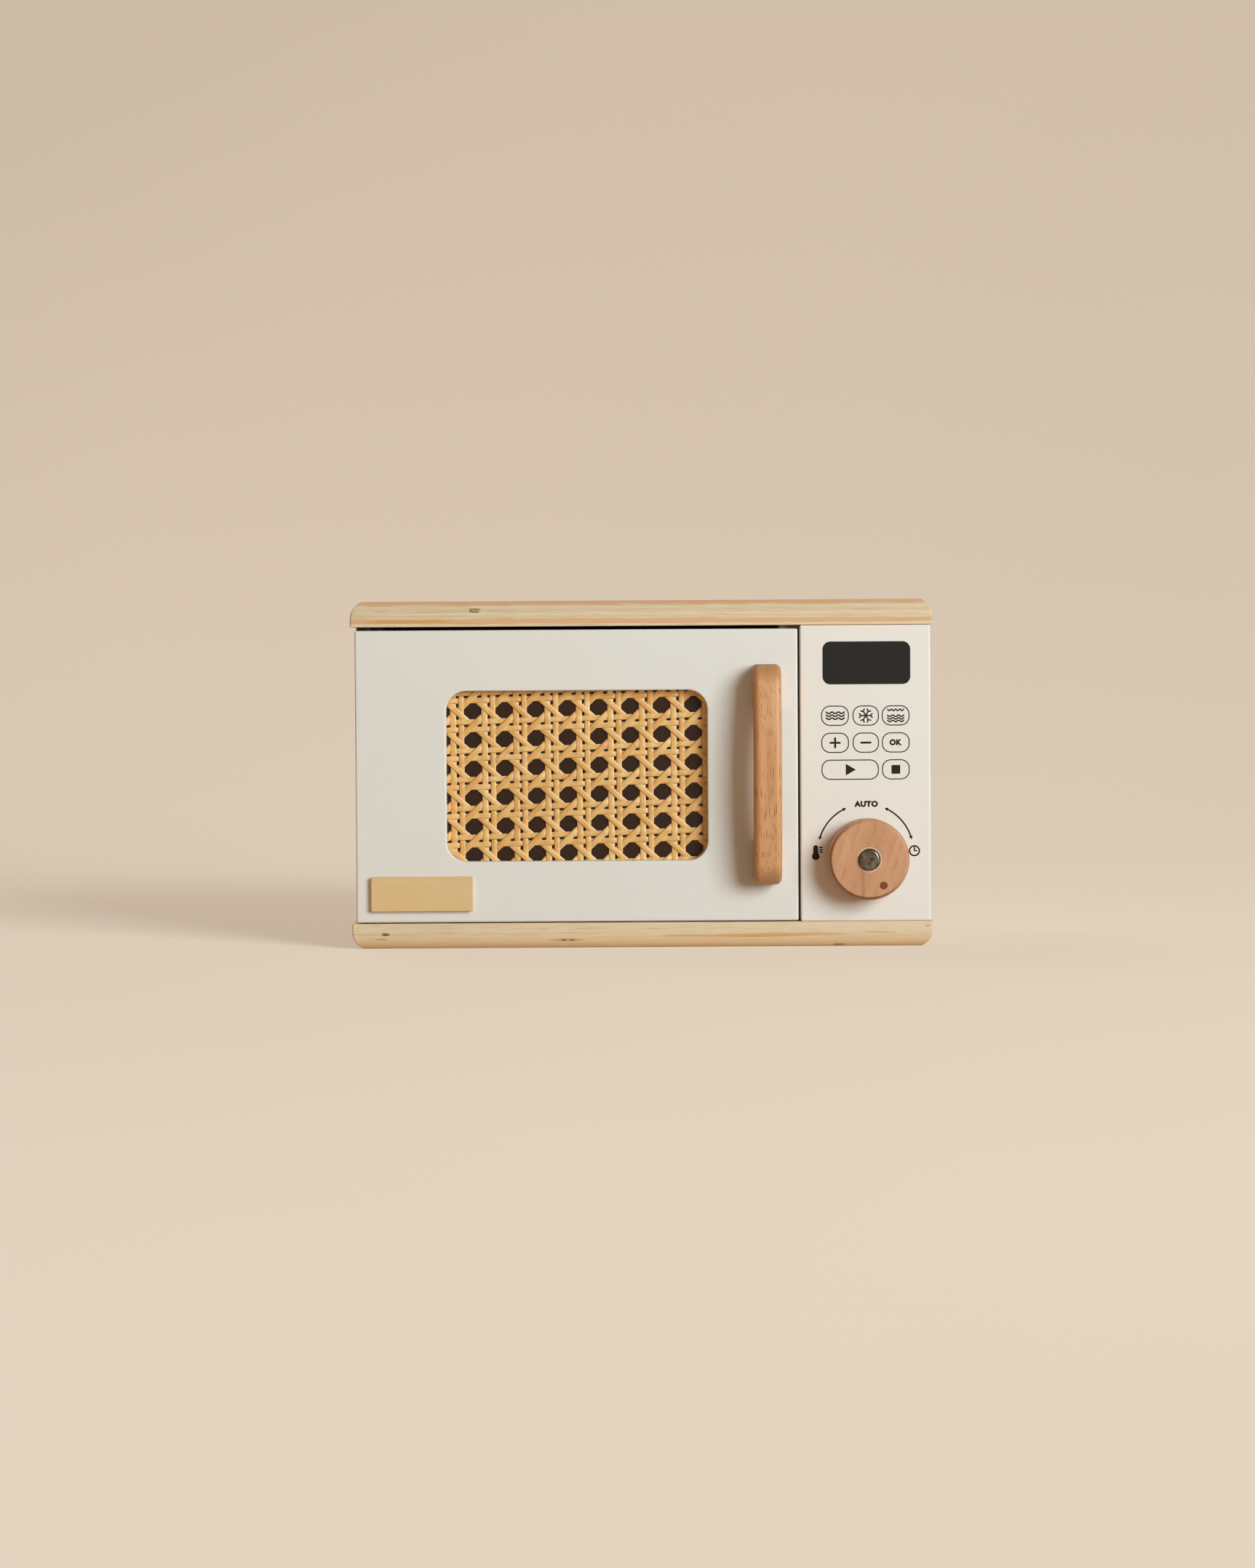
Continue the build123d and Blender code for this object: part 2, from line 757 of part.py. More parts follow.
nodes = {
    "top_board": top_board(),
    "bottom_board": bottom_board(),
    "left_side_board": left_side,
    "right_side_board": right_side,
    "divider_board": divider_board(),
    "back_panel": back_panel(),
    "control_panel": control_panel(),
    "door_panel": door_panel(),
    "cane_webbing": cane_webbing(),
    "window_sheet": window_sheet(),
    "cane_frame": cane_frame(),
    "cane_frame_screws": fastener_group(
        screw(*frame_screw_sizes, frame_screw_length), frame_screw_places
    ),
    "door_handle": door_handle(),
    "handle_screws": fastener_group(
        screw(*wood_screw_sizes, handle_screw_length), handle_screw_places
    ),
    "bare_plate": bare_plate(),
    "upper_hinge_pin": upper_hinge_pin(),
    "lower_hinge_pin": lower_hinge_pin(),
    "door_magnet": door_magnet(),
    "strike_disc": strike_disc(),
    "control_knob": control_knob(),
    "knob_dot": knob_dot(),
    "knob_cap": on_knob_axis * Pos(0, 0, cap_seat) * push_cap(),
    "knob_axle": knob_axle(),
    "friction_washer": friction_washer(),
    "rear_washer": rear_washer(),
    "rear_cap": on_knob_axis * Pos(0, 0, rear_seat) * Rot(180, 0, 0) * push_cap(),
    "turntable": turntable(),
    "turntable_pivot": turntable_pivot(),
    "turntable_washer": turntable_washer(),
    "top_dowels": top_dowels(),
    "base_screws": fastener_group(
        screw(*wood_screw_sizes, base_screw_length), base_screw_places
    ),
    "back_screws": fastener_group(
        screw(*wood_screw_sizes, back_screw_length), back_screw_places
    ),
}

os.makedirs("parts", exist_ok=True)
for name, shape in nodes.items():
    export_step(shape, f"parts/{name}.step")
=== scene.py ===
import math

import bpy
from mathutils import Matrix, Vector


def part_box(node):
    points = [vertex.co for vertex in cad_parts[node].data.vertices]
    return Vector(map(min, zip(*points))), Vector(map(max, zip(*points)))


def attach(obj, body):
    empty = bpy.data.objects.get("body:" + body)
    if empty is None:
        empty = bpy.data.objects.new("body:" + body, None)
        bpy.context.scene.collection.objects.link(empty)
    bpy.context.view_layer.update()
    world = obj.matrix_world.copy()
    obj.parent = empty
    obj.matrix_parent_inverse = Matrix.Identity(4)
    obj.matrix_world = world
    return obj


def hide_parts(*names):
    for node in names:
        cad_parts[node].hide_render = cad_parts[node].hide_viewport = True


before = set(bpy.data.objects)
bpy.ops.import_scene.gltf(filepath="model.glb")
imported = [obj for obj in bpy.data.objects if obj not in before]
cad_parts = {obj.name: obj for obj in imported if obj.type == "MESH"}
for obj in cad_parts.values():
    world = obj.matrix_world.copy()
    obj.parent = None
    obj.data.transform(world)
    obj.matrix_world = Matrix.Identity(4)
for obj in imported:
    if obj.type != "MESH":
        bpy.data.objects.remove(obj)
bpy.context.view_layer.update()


# Top board and bottom board
# Two solid birch boards glued up from narrow strips, with a wide router arc round the outer
# edge, sanded and given one coat of clear satin lacquer. The grain runs along the width.
mm = 0.001
full_turn = 2 * math.pi
wave_texture_period = full_turn / 20

# A colour Mix node has several sockets of each name, so the ones for colour go by number
mix_share = 0
mix_first = 6
mix_second = 7
mix_result = 2


def linear(hex_colour):
    """An sRGB hex colour as the linear colour that a shader's socket takes."""
    channels = []
    for start in (0, 2, 4):
        value = int(hex_colour[start : start + 2], 16) / 255
        channels.append(value / 12.92 if value <= 0.04045 else ((value + 0.055) / 1.055) ** 2.4)
    return (*channels, 1.0)


def new_material(name):
    """A material named for the real finish, with no nodes yet."""
    material = bpy.data.materials.new(name)
    material.use_nodes = True
    material.node_tree.nodes.clear()
    return material


def add_node(material, kind, inputs, **settings):
    """Add a node with its settings. Each input is a value, or the output that it is linked to."""
    node = material.node_tree.nodes.new(kind)
    for name, value in settings.items():
        setattr(node, name, value)
    for socket, value in inputs.items():
        if isinstance(value, bpy.types.NodeSocket):
            material.node_tree.links.new(value, node.inputs[socket])
        else:
            node.inputs[socket].default_value = value
    return node


def dress(names, material):
    """Give CAD nodes their material."""
    for name in names:
        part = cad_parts[name]
        if not part.material_slots:
            part.data.materials.append(material)
        for slot in part.material_slots:
            slot.material = material


def tint(material, colour, measure, span, shares, tint_colour, interpolation="LINEAR"):
    """Lay tint_colour over a colour. While measure goes through its span, the share of the tint
    goes from the first of shares to the second."""
    share = add_node(
        material,
        "ShaderNodeMapRange",
        {
            "Value": measure,
            "From Min": span[0],
            "From Max": span[1],
            "To Min": shares[0],
            "To Max": shares[1],
        },
        interpolation_type=interpolation,
    ).outputs[0]
    return add_node(
        material,
        "ShaderNodeMix",
        {mix_share: share, mix_first: colour, mix_second: linear(tint_colour)},
        data_type="RGBA",
    ).outputs[mix_result]


def sawn_wood(name, turn, heart, ring, colours, fibre, streak_length, ring_share, fibre_contrast):
    """Solid wood. turn brings the grain to run along X, heart is where the tree's middle lies
    from the part's origin after that turn, ring is the width of a growth ring, and colours are
    the pale early wood, the darker late wood, and a slow drift of tone over both. Gives the
    material, the drawn-out grain, the colour and the relief of the fibres."""
    late_wood_sharpness = 2.2
    fibres_per_drift = 14
    drift_span = (0.4, 0.68)
    drift_shares = (0, 0.55)
    fibre_relief = 0.05 * mm
    material = new_material(name)
    place = add_node(material, "ShaderNodeTexCoord", {}).outputs["Object"]
    turned = add_node(material, "ShaderNodeMapping", {"Vector": place, "Rotation": turn})
    grain = add_node(
        material,
        "ShaderNodeMapping",
        {
            "Vector": turned.outputs[0],
            "Scale": (fibre / streak_length, 1, 1),
            "Location": heart,
        },
    ).outputs[0]
    rings = add_node(
        material,
        "ShaderNodeTexWave",
        {
            "Vector": grain,
            "Scale": wave_texture_period / ring,
            "Distortion": 9.0,
            "Detail": 2.0,
            "Detail Scale": 0.9,
        },
        wave_type="RINGS",
        rings_direction="X",
        wave_profile="SAW",
    ).outputs["Fac"]
    late_wood = add_node(
        material, "ShaderNodeMath", {0: rings, 1: late_wood_sharpness}, operation="POWER"
    ).outputs[0]
    fibres = add_node(
        material,
        "ShaderNodeTexNoise",
        {"Vector": grain, "Scale": 1 / fibre, "Detail": 4.0, "Roughness": 0.65},
    ).outputs["Fac"]
    drift = add_node(
        material,
        "ShaderNodeTexNoise",
        {"Vector": grain, "Scale": 1 / (fibres_per_drift * fibre), "Detail": 2.0},
    ).outputs["Fac"]
    fibre_share = add_node(
        material,
        "ShaderNodeMapRange",
        {
            "Value": fibres,
            "From Min": 0.32,
            "From Max": 0.72,
            "To Min": -fibre_contrast,
            "To Max": fibre_contrast,
        },
    ).outputs[0]
    darkness = add_node(
        material,
        "ShaderNodeMath",
        {0: late_wood, 1: ring_share, 2: fibre_share},
        operation="MULTIPLY_ADD",
        use_clamp=True,
    ).outputs[0]
    pale, late, drifted = colours
    wood = tint(material, linear(pale), darkness, (0, 1), (0, 1), late)
    toned = tint(material, wood, drift, drift_span, drift_shares, drifted)
    relief = add_node(
        material,
        "ShaderNodeBump",
        {"Height": fibres, "Strength": 0.25, "Distance": fibre_relief},
    ).outputs[0]
    return material, grain, toned, relief


def add_marks_and_painted_light(material, colour, marks, wobble_sizes):
    """Marks on a surface, real ones and painted light, each an ellipsoid given by its place, half
    sizes, colour and strength.
    wobble_sizes says how far a ragged bit of their edges runs along each axis."""
    raggedness = 1.1
    edge = (1.25, 1.75)
    if not marks:
        return colour
    place = add_node(material, "ShaderNodeTexCoord", {}).outputs["Object"]
    stretched = add_node(
        material,
        "ShaderNodeMapping",
        {"Vector": place, "Scale": [1 / size for size in wobble_sizes]},
    ).outputs[0]
    wobble = add_node(
        material, "ShaderNodeTexNoise", {"Vector": stretched, "Scale": 1.0, "Detail": 3.0}
    ).outputs["Fac"]
    for centre, half_sizes, mark_colour, strength in marks:
        scale = [1 / size for size in half_sizes]
        local = add_node(
            material,
            "ShaderNodeMapping",
            {
                "Vector": place,
                "Location": [-at * by for at, by in zip(centre, scale)],
                "Scale": scale,
            },
        ).outputs[0]
        reach = add_node(
            material, "ShaderNodeVectorMath", {0: local}, operation="LENGTH"
        ).outputs["Value"]
        ragged = add_node(
            material,
            "ShaderNodeMath",
            {0: wobble, 1: raggedness, 2: reach},
            operation="MULTIPLY_ADD",
        ).outputs[0]
        colour = tint(material, colour, ragged, edge, (strength, 0), mark_colour, "SMOOTHSTEP")
    return colour


def front_marks(y, depth, rows):
    """Marks that go in from a front face at y. Each row has a mark's x and z, its half width and
    half height, all in millimetres, its colour and its strength."""
    return [
        ((x * mm, y, z * mm), (half_width * mm, depth, half_height * mm), colour, strength)
        for x, z, half_width, half_height, colour, strength in rows
    ]


def surface(material, **inputs):
    """Close a material with its shader and output. Underscores in a name stand for spaces."""
    named = {name.replace("_", " "): value for name, value in inputs.items()}
    shader = add_node(material, "ShaderNodeBsdfPrincipled", named)
    add_node(material, "ShaderNodeOutputMaterial", {"Surface": shader.outputs[0]})
    return material


board_wood, _, board_colour, board_relief = sawn_wood(
    "lacquered_birch_board",
    turn=(0, 0, 0),
    heart=(0, 30 * mm, -95 * mm),
    ring=2.6 * mm,
    colours=("EACFAA", "C89967", "EBD2AF"),
    fibre=0.36 * mm,
    streak_length=15 * mm,
    ring_share=0.35,
    fibre_contrast=0.75,
)
top_low, top_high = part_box("top_board")
board_length = top_high.x - top_low.x
front_y = top_low.y
whole = board_length / mm

# Strips of darker and more orange wood, and along the top's upper front edge a tan band that is a
# painted reflection of a warm backdrop
strips = front_marks(
    front_y,
    20 * mm,
    (
        (0, 165.7, whole, 1.15, "CBAA80", 0.25),
        (0, 162.8, whole, 0.85, "CBAA80", 0.3),
        (0, 160.5, whole, 1.3, "DC9F62", 0.65),
        (-112, 160.6, 22, 0.9, "D8924A", 0.6),
    ),
)
# A painted reflection of a warm backdrop on the top board's rounded upper front edge
painted_reflection_band = [
    ((0, front_y + 3 * mm, 171.2 * mm), (board_length, 4.2 * mm, 3.2 * mm), "DCA06C", 0.75),
]
base_strips_and_painted_light = front_marks(
    front_y,
    20 * mm,
    (
        (24, 5.7, 17, 0.7, "D8924A", 0.7),
        (56, 5.8, 26, 1.0, "D8924A", 0.75),
        (86, 6.3, 15, 0.6, "D8924A", 0.6),
        # The pale band is painted light, lifting the shade on the bottom board's downward-turned
        # lower front edge
        (0, -1.5, whole, 7.5, "FBD4A0", 0.7),
        (-36.5, 4.1, 8.5, 0.8, "C9935C", 0.5),
    ),
)

# Knots and pith flecks: the squarish knot at the top left takes the first four
knots = front_marks(
    front_y,
    12 * mm,
    (
        (-81.2, 165.8, 2.9, 1.15, "A5824E", 0.6),
        (-81.2, 166.5, 2.7, 0.34, "6A4A26", 0.7),
        (-81.4, 165.1, 2.7, 0.34, "6A4A26", 0.7),
        (-83.4, 165.8, 0.5, 0.9, "6A4A26", 0.7),
        (-127.2, 165.5, 3.6, 0.35, "946A40", 0.3),
        (-67.9, 165.6, 8.0, 0.35, "946A40", 0.22),
        (-126.1, 7.3, 1.9, 0.8, "843A18", 0.85),
        (-128.1, 4.8, 3.0, 0.45, "84542C", 0.4),
        (-38.6, 4.1, 1.3, 0.65, "7A5222", 0.65),
        (-34.7, 4.1, 1.4, 0.55, "7A5222", 0.65),
        (96.5, 0.9, 3.6, 0.6, "96562F", 0.6),
        (139.8, 10.2, 1.2, 0.5, "96562F", 0.45),
    ),
)
strip_wobble = (16 * mm, 6 * mm, 1.0 * mm)
knot_wobble = (1.5 * mm, 1.5 * mm, 0.6 * mm)
striped_and_painted_light = add_marks_and_painted_light(board_wood, board_colour, strips + painted_reflection_band + base_strips_and_painted_light, strip_wobble)
surface(
    board_wood,
    Base_Color=add_marks_and_painted_light(board_wood, striped_and_painted_light, knots, knot_wobble),
    Roughness=0.68,
    Specular_IOR_Level=0.3,
    Normal=board_relief,
)
dress(("top_board", "bottom_board"), board_wood)


# Painted boards
# Sides, divider, back and the panel that carries the buttons are MDF board, sprayed with a
# satin cream lacquer that leaves a very faint orange-peel surface. Just behind the upper hinge
# pin, the left side's front edge has painted shade, darkening it where the door gap is dark.
def patchy(name, patch_size, detail, tones, span=(0, 1)):
    """A material whose colour drifts between two tones in soft patches. A short span of the
    noise sets the tones further apart. Gives the material, the colour and the patches."""
    material = new_material(name)
    place = add_node(material, "ShaderNodeTexCoord", {}).outputs["Object"]
    patches = add_node(
        material,
        "ShaderNodeTexNoise",
        {"Vector": place, "Scale": 1 / patch_size, "Detail": detail},
    ).outputs["Fac"]
    colour = tint(material, linear(tones[0]), patches, span, (0, 1), tones[1])
    return material, colour, patches


def cream_lacquer(name, tones, shade_marks=()):
    """Sprayed satin lacquer: even and pale, with a faint waviness in its gloss. The two tones
    are where the coat is thin and where it is full."""
    cloud_size = 45 * mm
    peel_size = 1.6 * mm
    material, colour, _ = patchy(name, cloud_size, 3.0, tones)
    place = add_node(material, "ShaderNodeTexCoord", {}).outputs["Object"]
    peel = add_node(
        material, "ShaderNodeTexNoise", {"Vector": place, "Scale": 1 / peel_size, "Detail": 2.0}
    ).outputs["Fac"]
    waviness = add_node(
        material, "ShaderNodeBump", {"Height": peel, "Strength": 0.2, "Distance": 0.02 * mm}
    ).outputs[0]
    shaded_colour = add_marks_and_painted_light(material, colour, shade_marks, (2 * mm, 2 * mm, 2 * mm))
    return surface(material, Base_Color=shaded_colour, Roughness=0.42, Normal=waviness)


cream_tones = ("EAE1D6", "EDE5DB")
warm_cream_tones = ("EFE3D6", "F2E7DB")
left_low, left_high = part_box("left_side_board")
# Painted shade on the left side's front edge behind the upper hinge pin, in the door gap
painted_gap_shade = (
    ((left_low.x, left_low.y, left_high.z), (20 * mm, 4 * mm, 5 * mm), "22150C", 0.95),
)
lacquer = cream_lacquer("cream_satin_lacquer", cream_tones)
dress(("right_side_board", "divider_board", "back_panel"), lacquer)
dress(
    ("left_side_board",),
    cream_lacquer("cream_satin_lacquer_painted_shade", cream_tones, painted_gap_shade),
)
dress(("control_panel",), cream_lacquer("warm_cream_satin_lacquer", warm_cream_tones))


# Printed signs on the control panel
# Display, button outlines and signs are pad-printed flat on the lacquer in one near-black ink.
# Each print is drawn lying flat, given the ink's thickness, then stood against the panel's face.
panel_low, panel_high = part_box("control_panel")
ink_thickness = 0.03 * mm
ink_layers = 5
ink_layer = 0.003 * mm
round_end_share = 0.49


def deselect_everything():
    """Leave edit mode and select nothing."""
    if bpy.context.object and bpy.context.object.mode != "OBJECT":
        bpy.ops.object.mode_set(mode="OBJECT")
    bpy.ops.object.select_all(action="DESELECT")


def rounded_sign(x, y, width, height, radius, turn=0.0):
    """A filled rounded rectangle about x, y. With a radius of half its height it is a
    round-ended bar."""
    deselect_everything()
    bpy.ops.mesh.primitive_plane_add(size=1)
    sign = bpy.context.object
    bpy.ops.object.mode_set(mode="EDIT")
    bpy.ops.transform.resize(value=(width, height, 1))
    bpy.ops.mesh.bevel(
        offset_type="OFFSET", offset=radius, segments=8, affect="VERTICES", clamp_overlap=True
    )
    bpy.ops.object.mode_set(mode="OBJECT")
    sign.data.transform(Matrix.Translation((x, y, 0)) @ Matrix.Rotation(turn, 4, "Z"))
    return sign


def outline_sign(x, y, width, height, radius, stroke):
    """The thin printed outline of a button."""
    sign = rounded_sign(x, y, width, height, radius)
    bpy.ops.object.mode_set(mode="EDIT")
    bpy.ops.mesh.select_all(action="SELECT")
    bpy.ops.mesh.inset(thickness=stroke, use_even_offset=True)
    bpy.ops.mesh.delete(type="FACE")
    bpy.ops.object.mode_set(mode="OBJECT")
    return sign


def bar_sign(start, end, stroke):
    """A straight round-ended stroke between two points."""
    length = math.dist(start, end)
    turn = math.atan2(end[1] - start[1], end[0] - start[0])
    middle = [(a + b) / 2 for a, b in zip(start, end)]
    return rounded_sign(*middle, length + stroke, stroke, stroke * round_end_share, turn)


def stroke_sign(path, stroke, steps):
    """A stroke made of a strip of squares bent along a path. For a share of its length, path
    gives a place and the way across the stroke."""
    deselect_everything()
    bpy.ops.mesh.primitive_grid_add(x_subdivisions=steps, y_subdivisions=1, size=1)
    sign = bpy.context.object
    for vertex in sign.data.vertices:
        place, across = path(vertex.co.x + 0.5)
        vertex.co = place + across * vertex.co.y * stroke
    return sign


def wave_sign(x, y, width, height, waves, stroke, steps_per_wave):
    """A level wavy stroke with a crest at each end."""

    def path(share):
        phase = full_turn * waves * share
        slope = -height / 2 * math.sin(phase) * full_turn * waves / width
        rise = height / 2 * math.cos(phase)
        place = Vector((x + (share - 0.5) * width, y + rise, 0))
        return place, Vector((-slope, 1, 0)).normalized()

    return stroke_sign(path, stroke, waves * steps_per_wave)


def arc_sign(x, y, radius, stroke, first, last, steps):
    """A stroke along an arc about x, y. A full turn closes into a ring."""

    def path(share):
        angle = first + (last - first) * share
        outward = Vector((math.cos(angle), math.sin(angle), 0))
        return Vector((x, y, 0)) + outward * radius, outward

    sign = stroke_sign(path, stroke, steps)
    bpy.ops.object.mode_set(mode="EDIT")
    bpy.ops.mesh.select_all(action="SELECT")
    bpy.ops.mesh.remove_doubles(threshold=stroke / 50)
    bpy.ops.object.mode_set(mode="OBJECT")
    return sign


def disc_sign(x, y, radius, corners=40, turn=0.0):
    """A filled disc, or with three corners a triangle that points along turn."""
    deselect_everything()
    bpy.ops.mesh.primitive_circle_add(vertices=corners, radius=radius, fill_type="NGON")
    sign = bpy.context.object
    to_place = Matrix.Translation((x, y, 0)) @ Matrix.Rotation(turn - math.pi / 2, 4, "Z")
    sign.data.transform(to_place)
    return sign


def letters_sign(words, x, y, width, height):
    """Plain upper-case letters, fitted to a width and height."""
    deselect_everything()
    bpy.ops.object.text_add()
    sign = bpy.context.object
    sign.data.body = words
    sign.data.size = height
    sign.data.offset = letter_boldness
    sign.data.space_character = letter_spacing
    sign.data.resolution_u = 6
    bpy.ops.object.convert(target="MESH")
    sign = bpy.context.object
    corners = [vertex.co for vertex in sign.data.vertices]
    low = Vector((min(c.x for c in corners), min(c.y for c in corners), 0))
    high = Vector((max(c.x for c in corners), max(c.y for c in corners), 0))
    middle = (low + high) / 2
    size = high - low
    fit = Matrix.Diagonal((width / size.x, height / size.y, 1, 1))
    sign.data.transform(Matrix.Translation((x, y, 0)) @ fit @ Matrix.Translation(-middle))
    return sign


def patchy_finish(name, patch_size, detail, tones, span=(0, 1), **inputs):
    """A patchy material closed with its shader, which takes the inputs."""
    material, colour, _ = patchy(name, patch_size, detail, tones, span)
    return surface(material, Base_Color=colour, **inputs)


# Pad-printing ink: near black, slightly warm, and more matt than the lacquer
ink = patchy_finish(
    "near_black_printing_ink",
    patch_size=0.8 * mm,
    detail=2.0,
    tones=("1D1812", "261F18"),
    Roughness=0.62,
    Specular_IOR_Level=0.25,
)


def print_on_panel(name, signs):
    """Join signs into one print, thicken it, and stand it against the panel's face. Strokes
    that cross lie a hair apart, like ink laid over ink."""
    deselect_everything()
    for number, sign in enumerate(signs):
        sign.data.transform(Matrix.Translation((0, 0, number % ink_layers * ink_layer)))
        sign.select_set(True)
    bpy.context.view_layer.objects.active = signs[0]
    if len(signs) > 1:
        bpy.ops.object.join()
    printed = bpy.context.object
    printed.name = name
    bpy.ops.object.mode_set(mode="EDIT")
    bpy.ops.mesh.select_all(action="SELECT")
    bpy.ops.mesh.extrude_region_move(TRANSFORM_OT_translate={"value": (0, 0, ink_thickness)})
    bpy.ops.mesh.select_all(action="SELECT")
    bpy.ops.mesh.normals_make_consistent(inside=False)
    bpy.ops.object.mode_set(mode="OBJECT")
    to_face = Matrix.Translation((panel_low.x, panel_low.y, panel_high.z))
    printed.data.transform(to_face @ Matrix.Rotation(math.pi / 2, 4, "X"))
    printed.data.materials.clear()
    printed.data.materials.append(ink)
    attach(printed, "cabinet")


# All places of the signs are from the panel's upper left corner, X to the right and Y up
display_place = (32.6 * mm, -18.75 * mm)
display_size = (43.0 * mm, 21.0 * mm)
display_radius = 3.8 * mm
print_on_panel("display_print", [rounded_sign(*display_place, *display_size, display_radius)])

# Outlines of the eight buttons
column_x = (17.15 * mm, 32.2 * mm, 46.85 * mm)
row_y = (-44.6 * mm, -57.85 * mm, -71.05 * mm)
button_height = 9.9 * mm
button_width = 13.6 * mm
middle_button_width = 12.9 * mm
wide_button_width = 28.1 * mm
button_radius = 4.3 * mm
outline_stroke = 0.5 * mm
wide_button_x = (column_x[0] + column_x[1]) / 2 - 0.2 * mm
buttons = [
    (x, y, width)
    for y in row_y[:2]
    for x, width in zip(column_x, (button_width, middle_button_width, button_width))
]
buttons.append((wide_button_x, row_y[2], wide_button_width))
buttons.append((column_x[2], row_y[2], button_width))
button_signs = [
    outline_sign(x, y, width, button_height, button_radius, outline_stroke)
    for x, y, width in buttons
]

# Waves on the first and the third button: middle, spacing, width, height and stroke. The third
# also has a shallow line of four waves above them.
heat_waves = (column_x[0] + 0.1 * mm, row_y[0], 1.45 * mm, 9.4 * mm, 0.85 * mm, 0.72 * mm)
thaw_waves = (column_x[2], row_y[0] - 1.45 * mm, 1.27 * mm, 8.5 * mm, 0.75 * mm, 0.68 * mm)
for line in (-1, 0, 1):
    for x, y, spacing, width, height, stroke in (heat_waves, thaw_waves):
        button_signs.append(
            wave_sign(x, y - line * spacing, width, height, 3, stroke, steps_per_wave=10)
        )
button_signs.append(
    wave_sign(
        column_x[2],
        row_y[0] + 2.7 * mm,
        width=8.3 * mm,
        height=0.8 * mm,
        waves=4,
        stroke=0.66 * mm,
        steps_per_wave=8,
    )
)

# Snowflake: six arms, each with a fork at its end
flake_reach = 2.3 * mm
flake_prong = 1.25 * mm
flake_prong_turn = math.radians(47)
flake_stroke = 0.68 * mm
for arm in range(6):
    along = arm * full_turn / 6
    fork = (
        column_x[1] + flake_reach * math.cos(along),
        row_y[0] + flake_reach * math.sin(along),
    )
    button_signs.append(bar_sign((column_x[1], row_y[0]), fork, flake_stroke))
    for side in (-1, 1):
        away = along + side * flake_prong_turn
        tip = (fork[0] + flake_prong * math.cos(away), fork[1] + flake_prong * math.sin(away))
        button_signs.append(bar_sign(fork, tip, flake_stroke))

# Plus, minus, OK, start and stop
plus_reach = 2.25 * mm
plus_stroke = 1.0 * mm
for middle_x, reach_x, reach_y in (
    (column_x[0], plus_reach, 0),
    (column_x[0], 0, plus_reach),
    (column_x[1], plus_reach, 0),
):
    start = (middle_x - reach_x, row_y[1] - reach_y)
    end = (middle_x + reach_x, row_y[1] + reach_y)
    button_signs.append(bar_sign(start, end, plus_stroke))
letter_height = 3.0 * mm
letter_boldness = 0.2 * mm
letter_spacing = 1.12
ok_width = 6.1 * mm
ok_y = row_y[1] + 0.1 * mm
start_x = wide_button_x - 0.5 * mm
start_radius = 3.3 * mm
stop_side = 4.3 * mm
stop_corner = 0.1 * mm
button_signs.append(letters_sign("OK", column_x[2], ok_y, ok_width, letter_height))
button_signs.append(disc_sign(start_x, row_y[2], start_radius, corners=3))
button_signs.append(rounded_sign(column_x[2], row_y[2], stop_side, stop_side, stop_corner))
print_on_panel("button_print", button_signs)

# Round the knob: the word AUTO, and an arc with two arrow heads on each side. An arrow head is a
# triangle, which is one and a half times as long as its radius.
auto_place = (32.2 * mm, -87.9 * mm)
auto_width = 11.6 * mm
arc_x = 31.85 * mm
arc_y = -111.35 * mm
arc_radius = 23.4 * mm
arc_stroke = 0.74 * mm
arc_high = math.radians(63.5)
arc_low = math.radians(17.4)
arrow_length = 1.7 * mm
arrow_radius = arrow_length / 1.5
dial_signs = [letters_sign("AUTO", *auto_place, auto_width, letter_height)]
for side in (-1, 1):
    first = arc_low if side > 0 else math.pi - arc_high
    last = arc_high if side > 0 else math.pi - arc_low
    dial_signs.append(arc_sign(arc_x, arc_y, arc_radius, arc_stroke, first, last, steps=20))
    for angle, way in ((first, -1), (last, 1)):
        x = arc_x + arc_radius * math.cos(angle)
        y = arc_y + arc_radius * math.sin(angle)
        along = angle + way * math.pi / 2
        dial_signs.append(disc_sign(x, y, arrow_radius, corners=3, turn=along))

# Thermometer: bulb, tube and three ticks
bulb_x = 7.4 * mm
bulb_y = -113.5 * mm
bulb_radius = 1.85 * mm
tube_y = bulb_y + 2.9 * mm
tube_width = 2.4 * mm
tube_height = 5.2 * mm
tube_radius = 1.19 * mm
tick_start_x = bulb_x + 2.1 * mm
tick_end_x = bulb_x + 3.1 * mm
top_tick_y = bulb_y + 4.35 * mm
tick_spacing = 1.13 * mm
tick_stroke = 0.7 * mm
dial_signs.append(disc_sign(bulb_x, bulb_y, bulb_radius))
dial_signs.append(rounded_sign(bulb_x, tube_y, tube_width, tube_height, tube_radius))
for tick in range(3):
    y = top_tick_y - tick * tick_spacing
    dial_signs.append(bar_sign((tick_start_x, y), (tick_end_x, y), tick_stroke))

# Clock: a ring and two hands
clock_x = 55.8 * mm
clock_y = -111.0 * mm
clock_radius = 2.4 * mm
hand_ends = ((clock_x, clock_y + 1.8 * mm), (clock_x + 1.0 * mm, clock_y))
hand_stroke = 0.66 * mm
dial_signs.append(
    arc_sign(clock_x, clock_y, clock_radius, arc_stroke, 0, full_turn, steps=36)
)
for hand_end in hand_ends:
    dial_signs.append(bar_sign((clock_x, clock_y), hand_end, hand_stroke))
print_on_panel("dial_print", dial_signs)


# Door panel and cane frame
# One MDF board with a routed window, sprayed with the same lacquer as the cabinet. The thin
# frame behind the window clamps the cane.
dress(("door_panel", "cane_frame"), lacquer)


